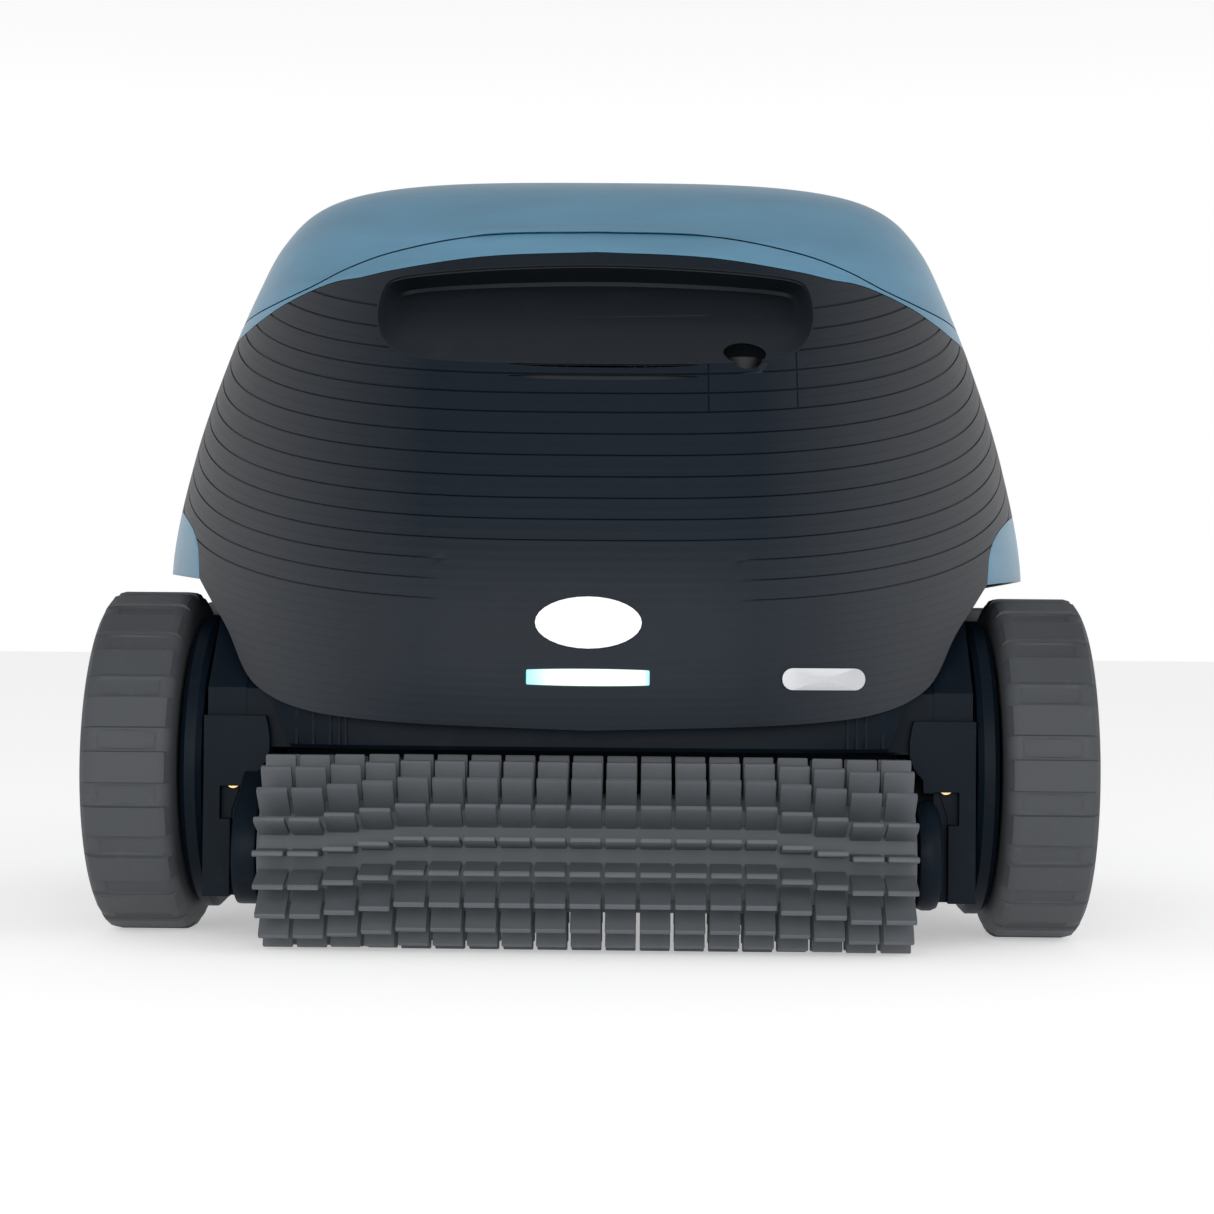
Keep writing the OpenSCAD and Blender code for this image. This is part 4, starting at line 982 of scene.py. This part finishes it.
class CLEANER_OT_hood(bpy.types.Operator):
    """Build the blue hood with its skirts and front rim"""
    bl_idname = "cleaner.hood"
    bl_label = "Hood"
    bl_options = {"REGISTER", "UNDO"}

    def execute(self, context):
        z = np.concatenate([np.linspace(76 * MM, 300 * MM, 62), np.linspace(302 * MM, 316.5 * MM, 12)])
        z = z[:, None]
        bearing = np.radians(np.arange(0, 360, 1.5))
        skin = on_body(z, bearing)
        inner = skin - body_normal(z, bearing) * WALL
        obj = make_mesh("hood_skin", np.stack([skin, inner]), sheet_faces(*skin.shape[:2], wrap=True))
        low = np.vstack([catmull_rom(LOWER_EDGE, 6), [[1.06, 0.456]]]) * np.array([HALF_W, BODY_H])
        carve(obj, slab("keep", above(mirrored(low)), AHEAD, BEHIND), "INTERSECT")
        lid = above(mirrored_edge(LID_EDGE) - np.array([0, SEAM]))
        carve(obj, slab("lid_room", lid, AHEAD, LID_REAR + SEAM))
        carve(obj, slab("shell_room", shell_region(SEAM / 2), AHEAD, SHELL_REAR + SEAM))
        hinge_low, hinge_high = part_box("hinge_pins")
        carve(obj, block("hinge_room", (-HINGE_HALF, LID_REAR - 2 * MM, hinge_low[2] - 18 * MM),
                         (HINGE_HALF, hinge_high[1] + 2.4 * MM, BODY_H + 20 * MM)))
        duct_low, duct_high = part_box("outlet_grille")
        middle = ((duct_low[0] + duct_high[0]) / 2, (duct_low[1] + duct_high[1]) / 2)
        radius = (duct_high[0] - duct_low[0]) / 2 + 0.5 * MM
        turn = np.radians(np.arange(0, 360, 5))
        circle = np.column_stack([middle[0] + radius * np.cos(turn), middle[1] + radius * np.sin(turn)])
        carve(obj, slab("outlet", circle, 0.2, 0.4, axis="z"))
        merge_close(obj, 0.05 * MM)
        bevelled(obj, 0.45 * MM, 50)
        finish(obj, "root", "blue_plastic", ["hood"], 28)
        return {"FINISHED"}


class CLEANER_OT_lid(bpy.types.Operator):
    """Build the blue lid with its raised finger lip"""
    bl_idname = "cleaner.lid"
    bl_label = "Lid"
    bl_options = {"REGISTER", "UNDO"}

    def lip_span(self, x, fade):
        """1 along the finger lip, and 0 past its ends."""
        left, right = LIP_X
        return smoothstep(x, left, left + fade) * (1 - smoothstep(x, right - fade, right))

    def execute(self, context):
        start = np.searchsorted(SECTIONS[:, 0], 0.74 * BODY_H)
        lip_low = np.searchsorted(SECTIONS[:, 0], 0.875 * BODY_H)
        lip_high = np.searchsorted(SECTIONS[:, 0], 0.905 * BODY_H)
        last = np.searchsorted(SECTIONS[:, 1] * -1, -4 * MM)
        rows = np.r_[start:lip_low:9, lip_low:lip_high:2, lip_high:last:9]
        z = SECTIONS[rows, 0][:, None]
        bearing = np.radians(np.arange(0, 360, 1.5))
        skin = on_body(z, bearing)
        normal = body_normal(z, bearing)
        x, y = skin[..., 0], skin[..., 1]
        edge = mirrored_edge(LID_EDGE)
        height = z - np.interp(x, edge[:, 0], edge[:, 1])
        near_edge = 1 - smoothstep(height, 1.0 * MM, 4.5 * MM)
        lip = self.lip_span(x, 8 * MM) * (y < 0) * near_edge * 1.3 * MM
        outer = skin + normal * lip[..., None]
        inner = skin - normal * WALL
        rows, cols = outer.shape[:2]
        faces = sheet_faces(rows, cols, wrap=True)
        k = rows * cols
        rim = (rows - 1) * cols
        strip = np.any((faces >= rim) & (faces < k), axis=1) & np.any(faces >= k + rim, axis=1)
        ring = np.arange(cols)
        faces = faces[~strip].tolist() + [(rim + ring).tolist(), (k + rim + ring[::-1]).tolist()]
        obj = make_mesh("lid_skin", np.stack([outer, inner]), faces)
        keep = mirrored_edge(LID_EDGE)
        keep[:, 1] -= self.lip_span(keep[:, 0], 4 * MM) * 0.2 * MM
        carve(obj, slab("keep", above(keep), AHEAD, LID_REAR), "INTERSECT")
        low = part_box("hinge_pins")[0]
        carve(obj, block("hinge_room", (-HINGE_HALF, low[1] - 2.6 * MM, low[2] - 18 * MM),
                         (HINGE_HALF, BEHIND, BODY_H + 20 * MM)))
        merge_close(obj, 0.05 * MM)
        bevelled(obj, 0.6 * MM, 50)
        finish(obj, "lid", "blue_plastic", ["lid"], 28)
        return {"FINISHED"}


class CLEANER_OT_tyres(bpy.types.Operator):
    """Build the four pad-tread tyres"""
    bl_idname = "cleaner.tyres"
    bl_label = "Tyres"
    bl_options = {"REGISTER", "UNDO"}

    def tread(self, settings, inner, outer, flat_r, rim_r):
        """Rings round the axle. A lug is a flat: its radius is flat_r over the cosine of the angle from
        its middle. Each second lug is a step lower, and has a shallow pocket with slanted sides. The
        shoulders are quarter ellipses, and near them the lugs sink to the ground of the tread."""
        step = 2 * math.pi / settings.pads
        half = step * 0.27
        high = np.array([-1.0, -0.97, -0.5, 0.0, 0.5, 0.97, 1.0]) * half
        low = half + (step - 2 * half) * np.array([0.04, 0.10, 0.16, 0.24, 0.5, 0.76, 0.84, 0.90, 0.96])
        offsets = np.concatenate([high, low])
        turn = (np.arange(settings.pads)[:, None] * step + offsets).ravel()
        local = np.tile(offsets, settings.pads)
        pad = np.abs(local) <= half + 1e-9
        share = np.clip((local - half) / (step - 2 * half), 0, 1)
        flat = flat_r / np.cos(np.where(pad, local, half))
        lowered = (flat_r - settings.pad_step) / np.cos(local - step / 2)
        in_turn = np.where(pad, 0, np.clip(np.minimum(share - 0.10, 0.90 - share) / 0.07, 0, 1))
        wide = outer - inner
        x = np.array([0.0, 0.4, 1.2, 2.4, 4.0, 5.4, 6.4, 17.0, 27.0, 28.0, 30.0, 32.4, 33.8, 34.6,
                      35.0]) * wide / 35
        in_x = np.clip(np.minimum(x - 5.4 * MM, wide - 7.0 * MM - x) / (1.0 * MM), 0, 1)
        shoulder = 5 * MM
        near = np.minimum(np.minimum(x, wide - x) / shoulder, 1)
        drop = 5.2 * MM * (1 - np.sqrt(np.maximum(1 - (1 - near) ** 2, 0)))
        ground = smoothstep(near, 0.05, 0.5)[None, :]
        lug = np.where(pad, flat, lowered)[:, None]
        crown = lug - drop[None, :] + (1 - ground) * (flat_r - settings.pad_step - lug)
        crown = crown - settings.pocket_depth * in_turn[:, None] * in_x[None, :]
        side_r = np.array([0.0, 0.35, 0.7])
        walls = rim_r + side_r * (flat_r - 9 * MM - rim_r)
        n = len(turn)
        left = np.broadcast_to(walls[None, :], (n, 3))
        right = left[:, ::-1]
        bulge = np.array([0.4, 0.0, 0.0]) * MM
        radius = np.concatenate([left, crown, right], axis=1)
        across = np.concatenate([inner + bulge, inner + x, outer - bulge[::-1]])
        points = np.stack([np.broadcast_to(across, radius.shape),
                           radius * np.sin(turn)[:, None], -radius * np.cos(turn)[:, None]], axis=-1)
        return points

    def execute(self, context):
        settings = context.scene.cleaner_running
        for name in ("left_front", "right_front", "left_rear", "right_rear"):
            low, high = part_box(name + "_tyre")
            sign = -1 if name.startswith("left") else 1
            inner, outer = sorted((abs(low[0]), abs(high[0])))
            centre_y = (low[1] + high[1]) / 2
            rim_low, rim_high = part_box(name + "_rim")
            rim_r = (rim_high[2] - rim_low[2]) / 2
            flat_r = (high[2] + low[2]) / 2
            points = self.tread(settings, inner, outer, flat_r, rim_r)
            points = points * np.array([sign, 1, 1]) + np.array([0, centre_y, flat_r])
            faces = cells(*points.shape[:2], wrap_rows=True, wrap_cols=True)
            obj = outward(make_mesh(name + "_tread", points, faces))
            finish(obj, name + "_wheel", "tread_rubber", [name + "_tyre"], 26)
        return {"FINISHED"}


class CLEANER_OT_brush(bpy.types.Operator):
    """Build the slit blade sleeve of the brush"""
    bl_idname = "cleaner.brush"
    bl_label = "Brush"
    bl_options = {"REGISTER", "UNDO"}

    def execute(self, context):
        settings = context.scene.cleaner_running
        low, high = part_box("brush_sleeve")
        centre = np.array([0, (low[1] + high[1]) / 2, (low[2] + high[2]) / 2])
        tip = (high[1] - low[1]) / 2
        root = tip * 0.61
        half = high[0]
        pitch = 2 * half / settings.columns
        gap, thick, chamfer = 1.5 * MM, 2.2 * MM, 0.35 * MM
        base = root - 1.2 * MM
        # Degrees: the turn of the middle columns, and how much further each end column lags
        first_turn, lag, lagging = -8, 3.2, 4
        # One blade in its own plane: across its thickness, and outwards from the axis
        across = np.array([-0.8, -0.5, -0.5, -0.28, 0.28, 0.5, 0.5, 0.8]) * thick
        out = np.array([base, root + 0.9 * MM, tip - 1.3 * MM, tip, tip, tip - 0.5 * MM,
                        root + 0.9 * MM, base])
        blades = []
        for k in range(settings.columns):
            edge = min(k, settings.columns - 1 - k)
            turn0 = math.radians(first_turn - lag * max(0, lagging - max(edge, 1)))
            x0, x1 = -half + k * pitch + gap / 2, -half + (k + 1) * pitch - gap / 2
            turn = turn0 + np.arange(settings.rows) * 2 * math.pi / settings.rows
            inset = np.array([1.0, 0.0, 0.0, 1.0]) * chamfer
            station = np.array([x0, x0 + chamfer, x1 - chamfer, x1])
            a = across[None, :] * (1 - inset[:, None] / thick)
            o = out[None, :] - inset[:, None] * (out > root + 2 * MM)[None, :]
            c, s = np.cos(turn)[:, None, None], np.sin(turn)[:, None, None]
            y = -(o[None] * c) + a[None] * s
            z = o[None] * s + a[None] * c
            x = np.broadcast_to(station[None, :, None], y.shape)
            blades.append(np.stack([x, y, z], axis=-1) + centre)
        blades = np.concatenate(blades)
        count, stations, around = blades.shape[:3]
        one = cells(stations, around, wrap_cols=True).tolist()
        one.append(list(range(around))[::-1])
        one.append(list(range((stations - 1) * around, stations * around)))
        one_points = stations * around
        faces = [[v + k * one_points for v in f] for k in range(count) for f in one]
        obj = make_mesh("brush_blades", blades, faces)
        with editing(obj) as bm:
            bmesh.ops.recalc_face_normals(bm, faces=bm.faces)
        finish(obj, "brush", "brush_rubber", ["brush_sleeve"], 30)
        self.sleeve(centre, root, half)
        return {"FINISHED"}

    def sleeve(self, centre, root, half):
        """The tube that carries the blades, with rounded ends."""
        core_r, chamfer = 14 * MM, 1.5 * MM
        profile = np.array([[core_r, -half], [root - chamfer, -half], [root, -half + chamfer],
                            [root, half - chamfer], [root - chamfer, half], [core_r, half]])
        turn = np.radians(np.arange(0, 360, 4))
        y = profile[:, 0][:, None] * np.cos(turn)
        z = profile[:, 0][:, None] * np.sin(turn)
        x = np.broadcast_to(profile[:, 1][:, None], y.shape)
        points = np.stack([x, y, z], axis=-1) + centre
        obj = make_mesh("brush_tube", points, cells(*y.shape, wrap_rows=True, wrap_cols=True))
        outward(obj)
        finish(obj, "brush", "brush_rubber", (), 35)


class CLEANER_OT_stage(bpy.types.Operator):
    """Add the floor, the lights, the world and the camera"""
    bl_idname = "cleaner.stage"
    bl_label = "Stage"
    bl_options = {"REGISTER", "UNDO"}

    def execute(self, context):
        settings = context.scene.cleaner_stage
        self.floor(settings)
        self.lights()
        self.camera(context, settings)
        context.scene.view_settings.view_transform = "Standard"
        return {"FINISHED"}

    def floor(self, settings):
        """A plain floor so wide that its edge is lost in the white of the world."""
        size = 40.0
        points = np.array([[-size, -size, 0], [size, -size, 0], [size, size, 0], [-size, size, 0]])
        obj = make_mesh("floor", points, [[0, 1, 2, 3]])
        kit = Kit("floor_paint")
        cloud = kit.noise(0.7, 2.0)
        base = kit.mix(cloud, rgba(settings.floor), rgba(settings.floor, 1.02))
        kit.set(Base_Color=base, Roughness=0.9, Specular_IOR_Level=0.0,
                Emission_Color=(1.0, 1.0, 1.0, 1.0), Emission_Strength=0.42)
        obj.data.materials.append(kit.material)

    def lights(self):
        """A white world with a dimmed zenith, and two area lights."""
        world = bpy.data.worlds.new("studio")
        kit = Kit(world)
        up = kit.axes(kit.node("ShaderNodeTexCoord", out="Generated"))[2]
        background = kit.tree.nodes["Background"]
        kit.feed(background.inputs[1], kit.ramp(up, 0.22, 0.75, 1.0, 0.34))
        kit.feed(background.inputs[0], (1.0, 1.0, 1.0, 1.0))
        bpy.context.scene.world = world
        plan = [("front", (-0.15, -2.1, 0.42), 26.0, 1.8), ("side", (1.2, -1.0, 0.9), 3.0, 1.0)]
        for name, place, power, size in plan:
            light = bpy.data.lights.new(name, "AREA")
            light.energy = power
            light.size = size
            obj = bpy.data.objects.new(name, light)
            aim = Vector((0, 0, 0.15)) - Vector(place)
            turn = aim.to_track_quat("-Z", "Y").to_matrix().to_4x4()
            obj.matrix_world = Matrix.Translation(place) @ turn
            bpy.context.scene.collection.objects.link(obj)

    def camera(self, context, settings):
        """Looks along +Y, turned a little left and up, with a slight roll."""
        yaw, pitch, roll = (math.radians(degrees) for degrees in (0.982, 1.030, 0.5))
        forward = Vector((-math.sin(yaw) * math.cos(pitch), math.cos(yaw) * math.cos(pitch),
                          math.sin(pitch)))
        right = forward.cross(Vector((0, 0, 1))).normalized()
        up = right.cross(forward)
        across = right * math.cos(roll) + up * math.sin(roll)
        upward = up * math.cos(roll) - right * math.sin(roll)
        turn = Matrix((across, upward, -forward)).transposed().to_4x4()
        data = bpy.data.cameras.new("camera")
        data.lens = settings.focal
        data.sensor_width = 36
        data.clip_start = 0.01
        obj = bpy.data.objects.new("camera", data)
        obj.matrix_world = Matrix.Translation(settings.eye) @ turn
        context.scene.collection.objects.link(obj)
        context.scene.camera = obj


class CLEANER_PT_panel(bpy.types.Panel):
    """Lists the steps that build the cleaner"""
    bl_idname = "CLEANER_PT_panel"
    bl_label = "Pool cleaner"
    bl_space_type = "VIEW_3D"
    bl_region_type = "UI"
    bl_category = "Pool cleaner"

    def draw(self, context):
        layout = self.layout
        for group in (context.scene.cleaner_shell, context.scene.cleaner_running,
                      context.scene.cleaner_stage):
            box = layout.box()
            for key in group.bl_rna.properties.keys():
                if key not in ("rna_type", "name"):
                    box.prop(group, key)
        for operator in OPERATORS:
            layout.operator(operator.bl_idname)


OPERATORS = (CLEANER_OT_stage, CLEANER_OT_finishes, CLEANER_OT_front_shell, CLEANER_OT_light,
             CLEANER_OT_grip, CLEANER_OT_chassis, CLEANER_OT_softened, CLEANER_OT_hood,
             CLEANER_OT_lid, CLEANER_OT_tyres, CLEANER_OT_brush)
GROUPS = {"cleaner_shell": ShellSettings, "cleaner_running": RunningSettings,
          "cleaner_stage": StageSettings}


def register():
    for cls in (*GROUPS.values(), *OPERATORS, CLEANER_PT_panel):
        bpy.utils.register_class(cls)
    for name, cls in GROUPS.items():
        setattr(bpy.types.Scene, name, PointerProperty(type=cls))


def unregister():
    for name in GROUPS:
        delattr(bpy.types.Scene, name)
    for cls in reversed((*GROUPS.values(), *OPERATORS, CLEANER_PT_panel)):
        bpy.utils.unregister_class(cls)


def main():
    """Builds everything in order."""
    register()
    for operator in OPERATORS:
        area, name = operator.bl_idname.split(".")
        getattr(getattr(bpy.ops, area), name)()


if __name__ == "__main__":
    main()
